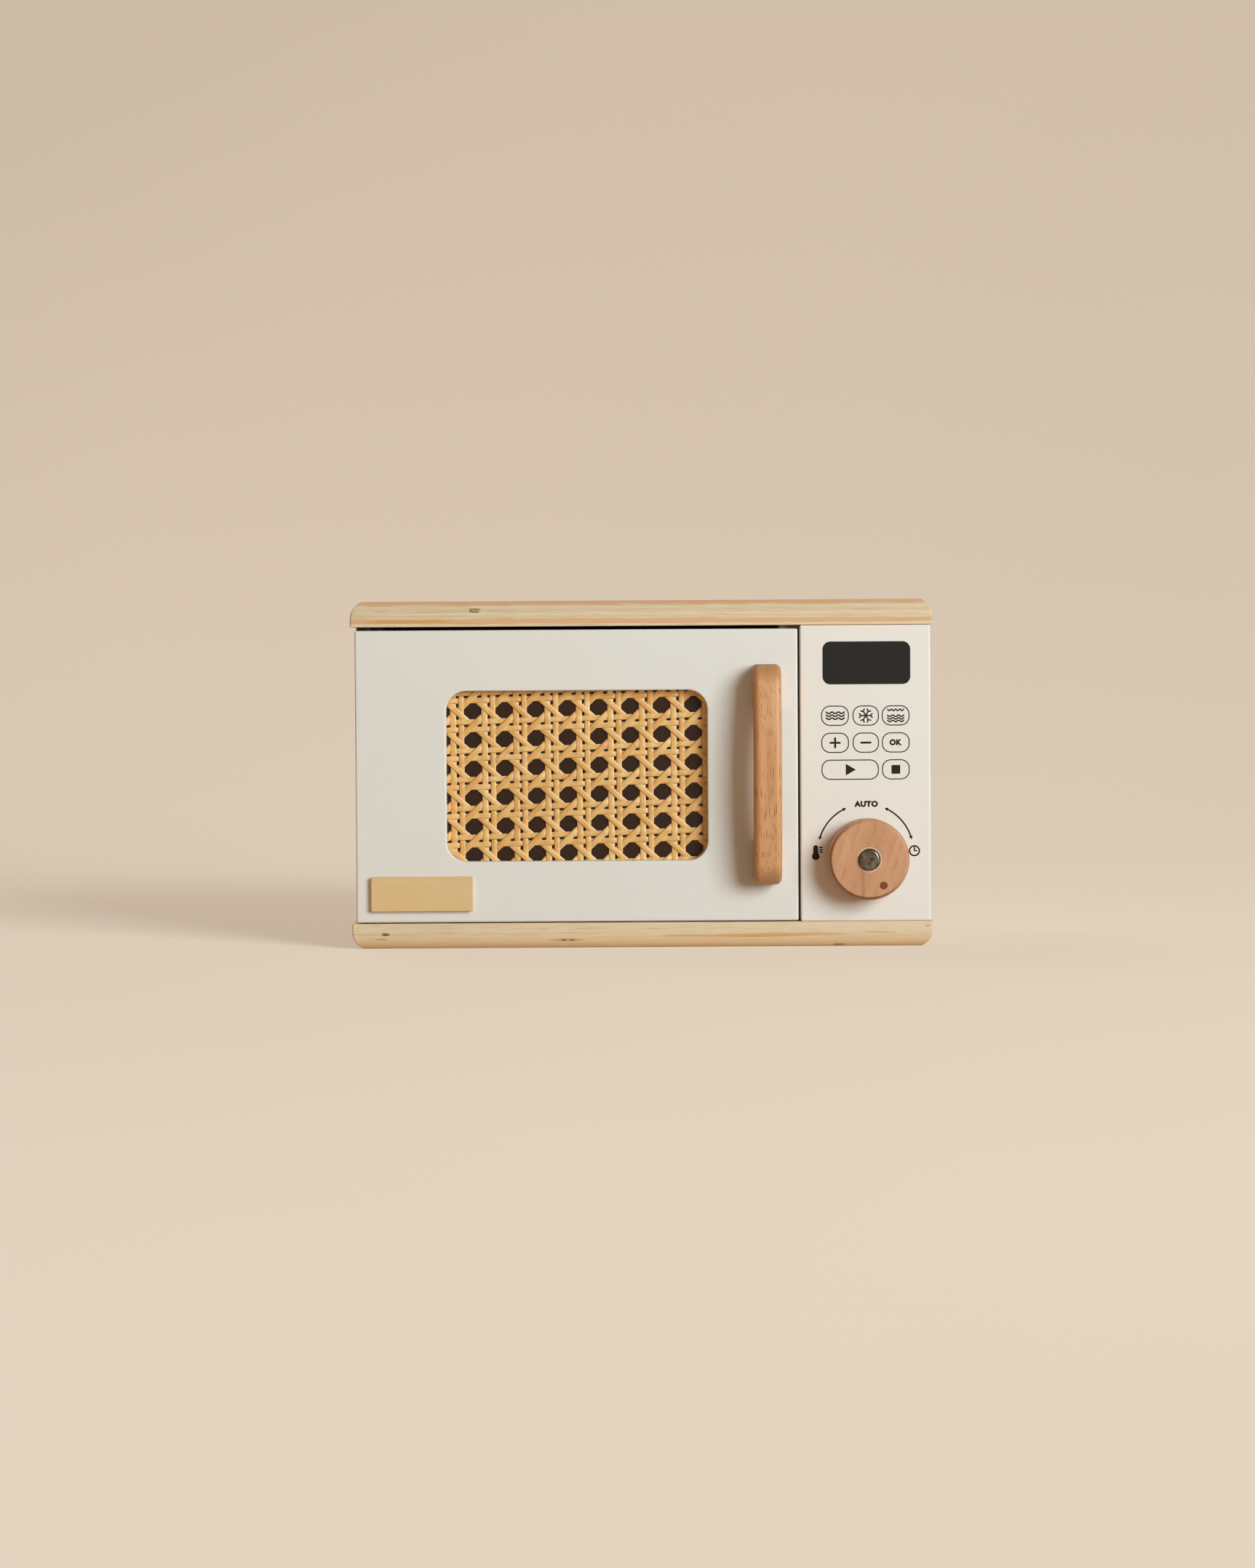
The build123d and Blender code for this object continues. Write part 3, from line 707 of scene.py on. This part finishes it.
# Woven cane
# Peeled rattan cane in the traditional octagon weave: upright and level strands in pairs, and
# one strand each way on the diagonals. Each strand is flat below and slightly crowned above.
cane_low, cane_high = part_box("cane_webbing")
cane_middle = (cane_low + cane_high) / 2
cane_pitch_across = 15.47 * mm
cane_pitch_up = 14.2 * mm
cane_row_turn = math.radians(1.54)
cane_column_lean = math.radians(0.3)
first_eye_x = -51.2 * mm
first_eye_y = 31.8 * mm
upright_widths = (3.05 * mm, 2.7 * mm)
upright_gap = 1.19 * mm
level_widths = (2.68 * mm, 2.68 * mm)
level_gap = 1.05 * mm
falling_width = 2.8 * mm
rising_width = 3.0 * mm
strand_thickness = 0.5 * mm
strand_edge_share = 0.3
crown_power = 6
strand_map_share = 0.4
strand_map_shift = 7
pair_rise = 0.25 * mm
diagonal_rise = 0.45 * mm
strand_step = 0.85 * mm
strand_cells_across = 5
sheet_inset = 0.4 * mm
sheet_half_x = (cane_high.x - cane_low.x) / 2 - sheet_inset
sheet_half_y = (cane_high.z - cane_low.z) / 2 - sheet_inset

along_row = Vector((math.cos(cane_row_turn), math.sin(cane_row_turn), 0))
down_column = Vector((math.sin(cane_column_lean), -math.cos(cane_column_lean), 0))
across_step = along_row * cane_pitch_across
down_step = down_column * cane_pitch_up
eye = Vector((first_eye_x, first_eye_y, 0))
crossing = eye - across_step / 2 - down_step / 2


def flat_topped(wave):
    """A wave between -1 and 1 with its tops drawn flat and its slopes made short."""
    for _ in range(2):
        wave = wave * (1.5 - 0.5 * wave * wave)
    return wave


def pair_wave(distance, spacing, sign):
    """Height of a paired strand near a crossing pair: up over one strand, down under the next."""
    if abs(distance) > spacing:
        return 0.0
    return sign * pair_rise * flat_topped(math.sin(math.pi * distance / spacing))


def diagonal_wave(distance, period, sign):
    """Height of a diagonal: over one kind of pair and under the other."""
    return sign * diagonal_rise * flat_topped(math.cos(full_turn * distance / period))


def pair_offsets(widths, gap):
    """How far the two strands of a pair lie from its middle."""
    half = (widths[0] + gap + widths[1]) / 2
    return widths[0] / 2 - half, half - widths[1] / 2


def nearest(distance, period):
    """Distance from the nearest whole number of periods."""
    return distance - period * round(distance / period)


def cane_strand(start, way, length, width, height_at, index, lit_edge_side=1):
    """One strand from start along way. height_at gives its rise for a distance along it, and
    lit_edge_side says on which side of it the painted highlight lies, towards the light. Its map
    holds millimetres along it and, about its number, the share across it."""
    deselect_everything()
    steps = max(2, round(length / strand_step))
    bpy.ops.mesh.primitive_grid_add(
        x_subdivisions=steps, y_subdivisions=strand_cells_across, size=1
    )
    strand = bpy.context.object
    bpy.ops.object.mode_set(mode="EDIT")
    bpy.ops.mesh.select_all(action="SELECT")
    bpy.ops.mesh.extrude_region_move(TRANSFORM_OT_translate={"value": (0, 0, -1)})
    bpy.ops.mesh.select_all(action="SELECT")
    bpy.ops.mesh.normals_make_consistent(inside=False)
    bpy.ops.object.mode_set(mode="OBJECT")
    across = Vector((-way.y, way.x, 0))
    shares = [vertex.co.copy() for vertex in strand.data.vertices]
    fibre_map = strand.data.uv_layers.active.data
    for loop in strand.data.loops:
        share = shares[loop.vertex_index]
        fibre_map[loop.index].uv = (
            (share.x + 0.5) * length / mm + strand_map_shift * index,
            lit_edge_side * strand_map_share * math.sin(math.pi * share.y) + index,
        )
    for vertex, share in zip(strand.data.vertices, shares):
        distance = (share.x + 0.5) * length
        side = math.sin(math.pi * share.y)
        crown = 1 - (1 - strand_edge_share) * side**crown_power
        height = strand_thickness * (crown - 0.5 if share.z > -0.5 else -0.5)
        place = start + way * distance + across * side * width / 2
        vertex.co = (place.x, place.y, height + height_at(distance))
    return strand


# Every strand starts this many pitches outside the first crossing and runs past the last
lead_in = 1.5
upright_pitches = 9
level_pitches = 12
diagonal_pitches = 9
upright_columns = range(-1, 10)
level_rows = range(-1, 8)
diagonal_columns = range(-10, 18)
rows_below = 6
upright_offsets = pair_offsets(upright_widths, upright_gap)
level_offsets = pair_offsets(level_widths, level_gap)
upright_spacing = upright_offsets[1] - upright_offsets[0]
level_spacing = level_offsets[1] - level_offsets[0]
strands = []
for column in upright_columns:
    for offset, width, sign in zip(upright_offsets, upright_widths, (-1, 1)):
        start = crossing + across_step * column - down_step * lead_in + along_row * offset

        def upright_height(distance, sign=sign):
            from_pair = nearest(distance - lead_in * cane_pitch_up, cane_pitch_up)
            return pair_wave(from_pair, level_spacing, sign)

        length = cane_pitch_up * upright_pitches
        strands.append(
            cane_strand(start, down_column, length, width, upright_height, len(strands))
        )
for row in level_rows:
    for offset, width, sign in zip(level_offsets, level_widths, (1, -1)):
        start = crossing + down_step * row - across_step * lead_in + down_column * offset

        def level_height(distance, sign=sign):
            from_pair = nearest(distance - lead_in * cane_pitch_across, cane_pitch_across)
            return pair_wave(from_pair, upright_spacing, sign)

        length = cane_pitch_across * level_pitches
        strands.append(cane_strand(start, along_row, length, width, level_height, len(strands)))
for sign, width in ((1, falling_width), (-1, rising_width)):
    diagonal = across_step + down_step * sign
    for column in diagonal_columns:
        start = crossing + across_step * (column + 0.5) - down_step * sign
        if sign < 0:
            start += down_step * rows_below

        def diagonal_height(distance, sign=sign, period=diagonal.length):
            return diagonal_wave(distance, period, -sign)

        length = diagonal.length * diagonal_pitches
        way = diagonal.normalized()
        strands.append(
            cane_strand(start, way, length, width, diagonal_height, len(strands), lit_edge_side=sign)
        )

# Join the strands and cut them off at the sheet's four edges
deselect_everything()
for strand in strands:
    strand.select_set(True)
bpy.context.view_layer.objects.active = strands[0]
bpy.ops.object.join()
woven_cane = bpy.context.object
woven_cane.name = "woven_cane"
bpy.ops.object.mode_set(mode="EDIT")
for side in (-1, 1):
    for edge, outward in (
        ((side * sheet_half_x, 0, 0), (side, 0, 0)),
        ((0, side * sheet_half_y, 0), (0, side, 0)),
    ):
        bpy.ops.mesh.select_all(action="SELECT")
        bpy.ops.mesh.bisect(plane_co=edge, plane_no=outward, use_fill=True, clear_outer=True)
bpy.ops.object.mode_set(mode="OBJECT")
woven_cane.data.transform(
    Matrix.Translation(cane_middle) @ Matrix.Rotation(math.pi / 2, 4, "X")
)
bpy.ops.object.shade_smooth_by_angle(angle=math.radians(50))


def peeled_cane():
    """Cane peel: straw yellow and satin, with fine fibres along each strand and no two alike.
    Each strand's edge towards the light has a painted highlight, the other edge painted shade."""
    material = new_material("peeled_rattan_cane")
    fibre_map = add_node(
        material, "ShaderNodeUVMap", {}, uv_map=woven_cane.data.uv_layers[0].name
    ).outputs[0]
    map_y = add_node(material, "ShaderNodeSeparateXYZ", {0: fibre_map}).outputs[1]
    number = add_node(material, "ShaderNodeMath", {0: map_y}, operation="ROUND").outputs[0]
    across = add_node(
        material, "ShaderNodeMath", {0: map_y, 1: number}, operation="SUBTRACT"
    ).outputs[0]
    chance = add_node(
        material, "ShaderNodeTexWhiteNoise", {"W": number}, noise_dimensions="1D"
    ).outputs["Value"]
    drawn_out = add_node(
        material, "ShaderNodeMapping", {"Vector": fibre_map, "Scale": (0.045, 3.6, 1)}
    ).outputs[0]
    fibres = add_node(
        material,
        "ShaderNodeTexNoise",
        {"Vector": drawn_out, "Scale": 3.0, "Detail": 3.0, "Roughness": 0.6},
    ).outputs["Fac"]
    patches = add_node(
        material, "ShaderNodeTexNoise", {"Vector": fibre_map, "Scale": 0.12, "Detail": 2.0}
    ).outputs["Fac"]
    colour = linear("FBC77B")
    for measure, span, shares, layer_colour in (
        (chance, (0, 1), (0, 1), "EFB165"),
        (fibres, (0.4, 0.7), (0, 0.6), "C17F38"),
        (patches, (0.5, 0.75), (0, 0.55), "FBD695"),
        # The last two layers are a painted highlight on the lit edge and painted shade on the
        # other
        (across, (0.33, 0.37), (0, 0.75), "FFE3AE"),
        (across, (-0.37, -0.325), (0.9, 0), "7C4317"),
    ):
        colour = tint(material, colour, measure, span, shares, layer_colour)
    relief = add_node(
        material, "ShaderNodeBump", {"Height": fibres, "Strength": 0.35, "Distance": 0.04 * mm}
    ).outputs[0]
    return surface(material, Base_Color=colour, Roughness=0.4, Normal=relief)


woven_cane.data.materials.clear()
woven_cane.data.materials.append(peeled_cane())
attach(woven_cane, "door")
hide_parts("cane_webbing")


# Window sheet
# Smoked acrylic behind the cane, cut from cast sheet and left glossy, with a trace of dust: it
# keeps the cavity dark from outside and lets nothing through.
acrylic = patchy_finish(
    "smoked_acrylic",
    patch_size=3 * mm,
    detail=4.0,
    tones=("2C1507", "381E0D"),
    Roughness=0.3,
    IOR=1.49,
)
dress(("window_sheet",), acrylic)


# Door handle
# A bow handle cut from one piece of European beech along the grain, sanded and oiled, and
# screwed on from behind the door.
thin_rays = (0.38 * mm, 1.2 * mm, 0.42 * mm)
round_rays = (0.3 * mm, 0.56 * mm, 0.56 * mm)


def add_flecks(material, grain, colour, strength, cell_size):
    """The short dark ray flecks of beech: some of a field of long cells hold one, others none.
    cell_size is the size of a cell in the drawn-out grain."""
    fleck_edge = (0, 0.05)
    fleck_colour = "894D22"
    cells = add_node(
        material,
        "ShaderNodeMapping",
        {"Vector": grain, "Scale": [1 / size for size in cell_size]},
    ).outputs[0]
    spots = add_node(
        material,
        "ShaderNodeTexVoronoi",
        {"Vector": cells, "Scale": 1.0, "Randomness": 1.0},
        feature="F1",
    )
    chance = add_node(material, "ShaderNodeSeparateColor", {0: spots.outputs["Color"]})
    reach = add_node(
        material,
        "ShaderNodeMapRange",
        {
            "Value": chance.outputs[0],
            "From Min": 0.1,
            "From Max": 1.0,
            "To Min": 0.0,
            "To Max": 0.4,
        },
    ).outputs[0]
    inside = add_node(
        material,
        "ShaderNodeMath",
        {0: reach, 1: spots.outputs["Distance"]},
        operation="SUBTRACT",
    ).outputs[0]
    return tint(material, colour, inside, fleck_edge, (0, strength), fleck_colour)


def oiled_beech(name, turn, heart, ring_share, colours, rays, fleck_strength, marks=()):
    """Oiled beech: pinkish tan, soft growth rings and short dark ray flecks."""
    material, grain, colour, relief = sawn_wood(
        name,
        turn=turn,
        heart=heart,
        ring=3.4 * mm,
        colours=colours,
        fibre=0.35 * mm,
        streak_length=9 * mm,
        ring_share=ring_share,
        fibre_contrast=0.35,
    )
    flecked = add_flecks(material, grain, colour, fleck_strength, rays)
    marked = add_marks_and_painted_light(material, flecked, marks, (1.2 * mm, 1.2 * mm, 9 * mm))
    return surface(material, Base_Color=marked, Roughness=0.5, Normal=relief)


# Painted shade on the left side, away from the light, two soft streaks in the front, and both
# ends, where the grain runs out
handle_low, handle_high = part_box("door_handle")
handle_middle = (handle_low + handle_high) / 2
right_through = 60 * mm
handle_left = (handle_low.x, handle_middle.y, handle_middle.z)
handle_marks_and_shade = [
    # Painted shade on the handle's left side, which faces away from the light
    (handle_left, (3.2 * mm, right_through, 80 * mm), "B56F38", 0.5),
    (
        (62.0 * mm, handle_middle.y, 88 * mm),
        (1.8 * mm, right_through, 22 * mm),
        "BC7A45",
        0.4,
    ),
    (
        (64.5 * mm, handle_middle.y, 118 * mm),
        (1.6 * mm, right_through, 18 * mm),
        "E2AC78",
        0.5,
    ),
]
for z in (handle_low.z, handle_high.z):
    end = (handle_middle.x, handle_middle.y, z)
    handle_marks_and_shade.append((end, (30 * mm, right_through, 9 * mm), "C08858", 0.6))
handle_beech = oiled_beech(
    "oiled_beech_handle",
    turn=(0, math.pi / 2, 0),
    heart=(0, 150 * mm, 30 * mm),
    ring_share=0.4,
    colours=("DFA16C", "BA7642", "D2945F"),
    rays=thin_rays,
    fleck_strength=0.9,
    marks=handle_marks_and_shade,
)
dress(("door_handle",), handle_beech)


# Bare plate
# A small label-sized piece of birch plywood, sanded, clear lacquered and glued to the door's
# lower left. It carries nothing.
plate_wood, _, plate_colour, plate_relief = sawn_wood(
    "lacquered_birch_veneer",
    turn=(0, 0, 0),
    heart=(0, 0, -300 * mm),
    ring=2.0 * mm,
    colours=("E7C088", "D8AC6E", "EBC892"),
    fibre=0.35 * mm,
    streak_length=4 * mm,
    ring_share=0.2,
    fibre_contrast=0.3,
)
surface(plate_wood, Base_Color=plate_colour, Roughness=0.45, Normal=plate_relief)
dress(("bare_plate",), plate_wood)


# Screws and small steel parts
# Countersunk wood screws, strike disc, axle and rear washer are zinc-plated steel: a cool grey
# metal, softly blurred, with the slightly cloudy surface of the plating bath.
zinc_pieces = (
    "base_screws",
    "back_screws",
    "cane_frame_screws",
    "handle_screws",
    "strike_disc",
    "knob_axle",
    "rear_washer",
)
zinc = patchy_finish(
    "zinc_plated_steel",
    patch_size=0.9 * mm,
    detail=3.0,
    tones=("B7B7B4", "CFCFCD"),
    Metallic=1.0,
    Roughness=0.33,
)
dress(zinc_pieces, zinc)


# Hinge pins
# Two short steel pins, coloured near black as painted shade so that they don't show in the
# door gap. The dark brown-black is a little lighter in patches.
gap_shade_steel = patchy_finish(
    "near_black_steel_gap_shade",
    patch_size=0.7 * mm,
    detail=3.0,
    tones=("1E1611", "34281F"),
    Roughness=0.55,
)
dress(("upper_hinge_pin", "lower_hinge_pin"), gap_shade_steel)


# Door magnet
# A round neodymium magnet pressed into the divider's front edge. Its nickel plating is warmer
# and brighter than zinc, with fine handling marks.
nickel = patchy_finish(
    "nickel_plated_magnet",
    patch_size=0.5 * mm,
    detail=4.0,
    tones=("C2BDB2", "D6D2C8"),
    Metallic=1.0,
    Roughness=0.22,
)
dress(("door_magnet",), nickel)


# Control knob
# Turned from beech with the grain lying in its face, sanded and oiled. The dot that points is
# a plug of wood, painted matt red-brown on its end grain and so a little uneven.
knob_low, knob_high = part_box("control_knob")
knob_middle = (knob_low + knob_high) / 2


def add_painted_light_ring(material, colour, radius, half_width, ring_colour, strength, heavy_way=None):
    """A soft ring about the knob's axis, for painted shade and painted highlight. heavy_way is
    the side on which it is strongest.
    """
    light_side_share = 0.15
    place = add_node(material, "ShaderNodeTexCoord", {}).outputs["Object"]
    local = add_node(
        material, "ShaderNodeVectorMath", {0: place, 1: knob_middle}, operation="SUBTRACT"
    ).outputs[0]
    flat = add_node(
        material, "ShaderNodeVectorMath", {0: local, 1: (1, 0, 1)}, operation="MULTIPLY"
    ).outputs[0]
    reach = add_node(
        material, "ShaderNodeVectorMath", {0: flat}, operation="LENGTH"
    ).outputs["Value"]
    off = add_node(
        material, "ShaderNodeMath", {0: reach, 1: radius}, operation="SUBTRACT"
    ).outputs[0]
    away = add_node(material, "ShaderNodeMath", {0: off}, operation="ABSOLUTE").outputs[0]
    if heavy_way:
        side = add_node(
            material, "ShaderNodeVectorMath", {0: flat, 1: heavy_way}, operation="DOT_PRODUCT"
        ).outputs["Value"]
        strength = add_node(
            material,
            "ShaderNodeMapRange",
            {
                "Value": side,
                "From Min": -radius / 2,
                "From Max": radius / 2,
                "To Min": light_side_share * strength,
                "To Max": strength,
            },
        ).outputs[0]
    edge = (half_width / 2, half_width)
    return tint(material, colour, away, edge, (strength, 0), ring_colour, "SMOOTHSTEP")


knob_beech, knob_grain, knob_colour, knob_relief = sawn_wood(
    "oiled_beech_knob",
    turn=(0, math.radians(72), 0),
    heart=(0, 140 * mm, -60 * mm),
    ring=5.2 * mm,
    colours=("D69A6E", "AC6A3E", "C4845A"),
    fibre=0.8 * mm,
    streak_length=8 * mm,
    ring_share=0.34,
    fibre_contrast=0.4,
)
knob_streaks = front_marks(
    knob_low.y,
    20 * mm,
    (
        (107.2, 31.5, 0.9, 9.0, "A4633C", 0.4),
        (113.5, 54.0, 1.3, 7.0, "B4754C", 0.25),
        (99.0, 47.0, 2.2, 9.0, "E3B088", 0.15),
        (117.5, 36.0, 3.0, 9.0, "E0AC84", 0.15),
    ),
)
knob_colour = add_marks_and_painted_light(knob_beech, knob_colour, knob_streaks, (1.0 * mm, 6 * mm, 4 * mm))

# Painted shade on the rounded edge, heaviest at the lower left away from the light, and a painted
# highlight ring round the cap
knob_colour = add_painted_light_ring(
    knob_beech,
    knob_colour,
    radius=18.75 * mm,
    half_width=0.75 * mm,
    ring_colour="6E3F22",
    strength=0.75,
    heavy_way=(-0.8, 0, -0.6),
)
# The pale ring is a painted highlight on the rim of the hole round the cap
knob_colour = add_painted_light_ring(
    knob_beech,
    knob_colour,
    radius=5.75 * mm,
    half_width=0.5 * mm,
    ring_colour="F0D3B0",
    strength=0.6,
)
knob_colour = add_flecks(knob_beech, knob_grain, knob_colour, 0.1, round_rays)
surface(knob_beech, Base_Color=knob_colour, Roughness=0.5, Normal=knob_relief)
dress(("control_knob",), knob_beech)

dot_paint = patchy_finish(
    "matt_red_brown_paint",
    patch_size=0.7 * mm,
    detail=4.0,
    tones=("7E3612", "984E24"),
    Roughness=0.6,
    Specular_IOR_Level=0.25,
)
dress(("knob_dot",), dot_paint)


# Push caps
# Stamped spring-steel caps, pushed onto the ends of the axle. The plating mirrors its
# surroundings, and its colour is darkened in smoky patches as a painted reflection of a dark
# room.
cap_steel_painted_reflection = patchy_finish(
    "plated_steel_painted_reflection",
    patch_size=2.6 * mm,
    detail=3.0,
    tones=("685D4F", "AA9F8D"),
    span=(0.35, 0.68),
    Metallic=1.0,
    Roughness=0.28,
)
dress(("knob_cap", "rear_cap"), cap_steel_painted_reflection)


# Felt rings
# Die-cut pressed wool felt, one ring behind the knob and one under the turntable: matt,
# grey-brown, with short matted hairs.
felt, felt_colour, hairs = patchy("pressed_wool_felt", 0.3 * mm, 6.0, ("3F3A34", "6B6459"))
felt_relief = add_node(
    felt, "ShaderNodeBump", {"Height": hairs, "Strength": 0.6, "Distance": 0.1 * mm}
).outputs[0]
surface(felt, Base_Color=felt_colour, Roughness=0.9, Sheen_Weight=0.3, Normal=felt_relief)
dress(("friction_washer", "turntable_washer"), felt)


# Turntable, its pivot and the dowels
# The turntable and its pivot are turned from oiled beech, with the grain across the plate. The
# dowels that hold the top board on are cut from rods of the same wood.
plain_beech = oiled_beech(
    "oiled_beech_turntable",
    turn=(0, 0, 0),
    heart=(0, 20 * mm, -160 * mm),
    ring_share=0.35,
    colours=("DDA873", "BE8450", "D29C68"),
    rays=round_rays,
    fleck_strength=0.6,
)
dress(("turntable", "turntable_pivot", "top_dowels"), plain_beech)


# Floor and backdrop
# A pale paper sweep behind and under the toy: matt, and seen directly evenly pale. It isn't
# part of the object.
sweep_half_width = 3.0
sweep_front = -3.0
sweep_back = 1.6
sweep_height = 2.6
sweep_bend = 0.9
seen_colour = "E8D6C2"
seen_evenness = 0.55
deselect_everything()
bpy.ops.mesh.primitive_plane_add(size=1, location=(0, (sweep_front + sweep_back) / 2, 0))
sweep = bpy.context.object
sweep.name = "paper_sweep"
bpy.ops.object.mode_set(mode="EDIT")
bpy.ops.transform.resize(value=(2 * sweep_half_width, sweep_back - sweep_front, 1))
bpy.ops.object.mode_set(mode="OBJECT")
bpy.ops.object.transform_apply(location=True, rotation=True, scale=True)


def select_back_edge(top):
    """Select the sweep's edge that lies at the back and below top, and go into edit mode."""
    for vertex in sweep.data.vertices:
        vertex.select = vertex.co.y > 0 and vertex.co.z < top
    for edge in sweep.data.edges:
        edge.select = all(sweep.data.vertices[i].select for i in edge.vertices)
    for face in sweep.data.polygons:
        face.select = False
    bpy.ops.object.mode_set(mode="EDIT")
    bpy.ops.mesh.select_mode(type="EDGE")


select_back_edge(sweep_height)
bpy.ops.mesh.extrude_edges_move(TRANSFORM_OT_translate={"value": (0, 0, sweep_height)})
bpy.ops.object.mode_set(mode="OBJECT")
select_back_edge(sweep_height / 2)
bpy.ops.mesh.bevel(offset_type="OFFSET", offset=sweep_bend, segments=24, affect="EDGES")
bpy.ops.object.mode_set(mode="OBJECT")
bpy.ops.object.shade_smooth()

paper, paper_colour, _ = patchy("matt_pale_paper", 250 * mm, 3.0, ("DCC8B2", "E0CDB8"))
matt = add_node(paper, "ShaderNodeBsdfDiffuse", {"Color": paper_colour, "Roughness": 0.9})
glow = add_node(paper, "ShaderNodeEmission", {"Color": linear(seen_colour), "Strength": 1.0})
paper_ray = add_node(paper, "ShaderNodeLightPath", {})
glow_share = add_node(
    paper,
    "ShaderNodeMath",
    {0: paper_ray.outputs["Is Camera Ray"], 1: seen_evenness},
    operation="MULTIPLY",
)
seen_paper = add_node(
    paper,
    "ShaderNodeMixShader",
    {0: glow_share.outputs[0], 1: matt.outputs[0], 2: glow.outputs[0]},
)
add_node(paper, "ShaderNodeOutputMaterial", {"Surface": seen_paper.outputs[0]})
sweep.data.materials.append(paper)


# Lamps
# A softbox from the right front, a little above the toy, a weaker one high behind it, and a weak
# warm light from all round.
lamp_target = Vector((0, -0.08, 0.085))
air_colour = (0.2, 0.156, 0.11, 1.0)


def add_softbox(name, way, distance, size, power, colour):
    """A square softbox that shines on the toy from a given way."""
    deselect_everything()
    way = Vector(way).normalized()
    bpy.ops.object.light_add(type="AREA", location=lamp_target + way * distance)
    lamp = bpy.context.object
    lamp.name = name
    lamp.rotation_euler = way.to_track_quat("Z", "Y").to_euler()
    lamp.data.shape = "SQUARE"
    lamp.data.size = size
    lamp.data.energy = power
    lamp.data.color = colour


add_softbox(
    "front_softbox",
    way=(0.76, -1.0, 0.36),
    distance=2.7,
    size=1.3,
    power=72.0,
    colour=(0.79, 0.93, 0.995),
)
add_softbox(
    "rear_softbox",
    way=(-0.5, 0.75, 1.0),
    distance=1.5,
    size=0.5,
    power=7.5,
    colour=(0.93, 0.96, 0.98),
)

world = bpy.data.worlds.new("studio_air")
bpy.context.scene.world = world
world.use_nodes = True
world.node_tree.nodes.clear()
world_ray = add_node(world, "ShaderNodeLightPath", {})
seen = add_node(
    world,
    "ShaderNodeMath",
    {0: world_ray.outputs["Is Camera Ray"], 1: world_ray.outputs["Is Transmission Ray"]},
    operation="MAXIMUM",
)
air = add_node(world, "ShaderNodeBackground", {"Color": air_colour, "Strength": 1.0})
seen_air = add_node(
    world, "ShaderNodeBackground", {"Color": linear(seen_colour), "Strength": 1.0}
)
either_air = add_node(
    world,
    "ShaderNodeMixShader",
    {0: seen.outputs[0], 1: air.outputs[0], 2: seen_air.outputs[0]},
)
add_node(world, "ShaderNodeOutputWorld", {"Surface": either_air.outputs[0]})


# Camera
# A long lens almost square on to the front, about two metres away and just above the middle. It
# tips down by about two degrees.
photo_height = 2156
focal_pixels = 5476
sensor_height = 36.0
camera_place = (-9.2 * mm, -2030 * mm, 145 * mm)
camera_turn = (math.radians(90 - 1.895), math.radians(0.34), math.radians(-0.074))
deselect_everything()
bpy.ops.object.camera_add(location=camera_place, rotation=camera_turn)
camera = bpy.context.object
camera.name = "photo_camera"
camera.data.lens = focal_pixels / photo_height * sensor_height
camera.data.sensor_width = sensor_height
bpy.context.scene.camera = camera
bpy.context.scene.view_settings.view_transform = "Standard"
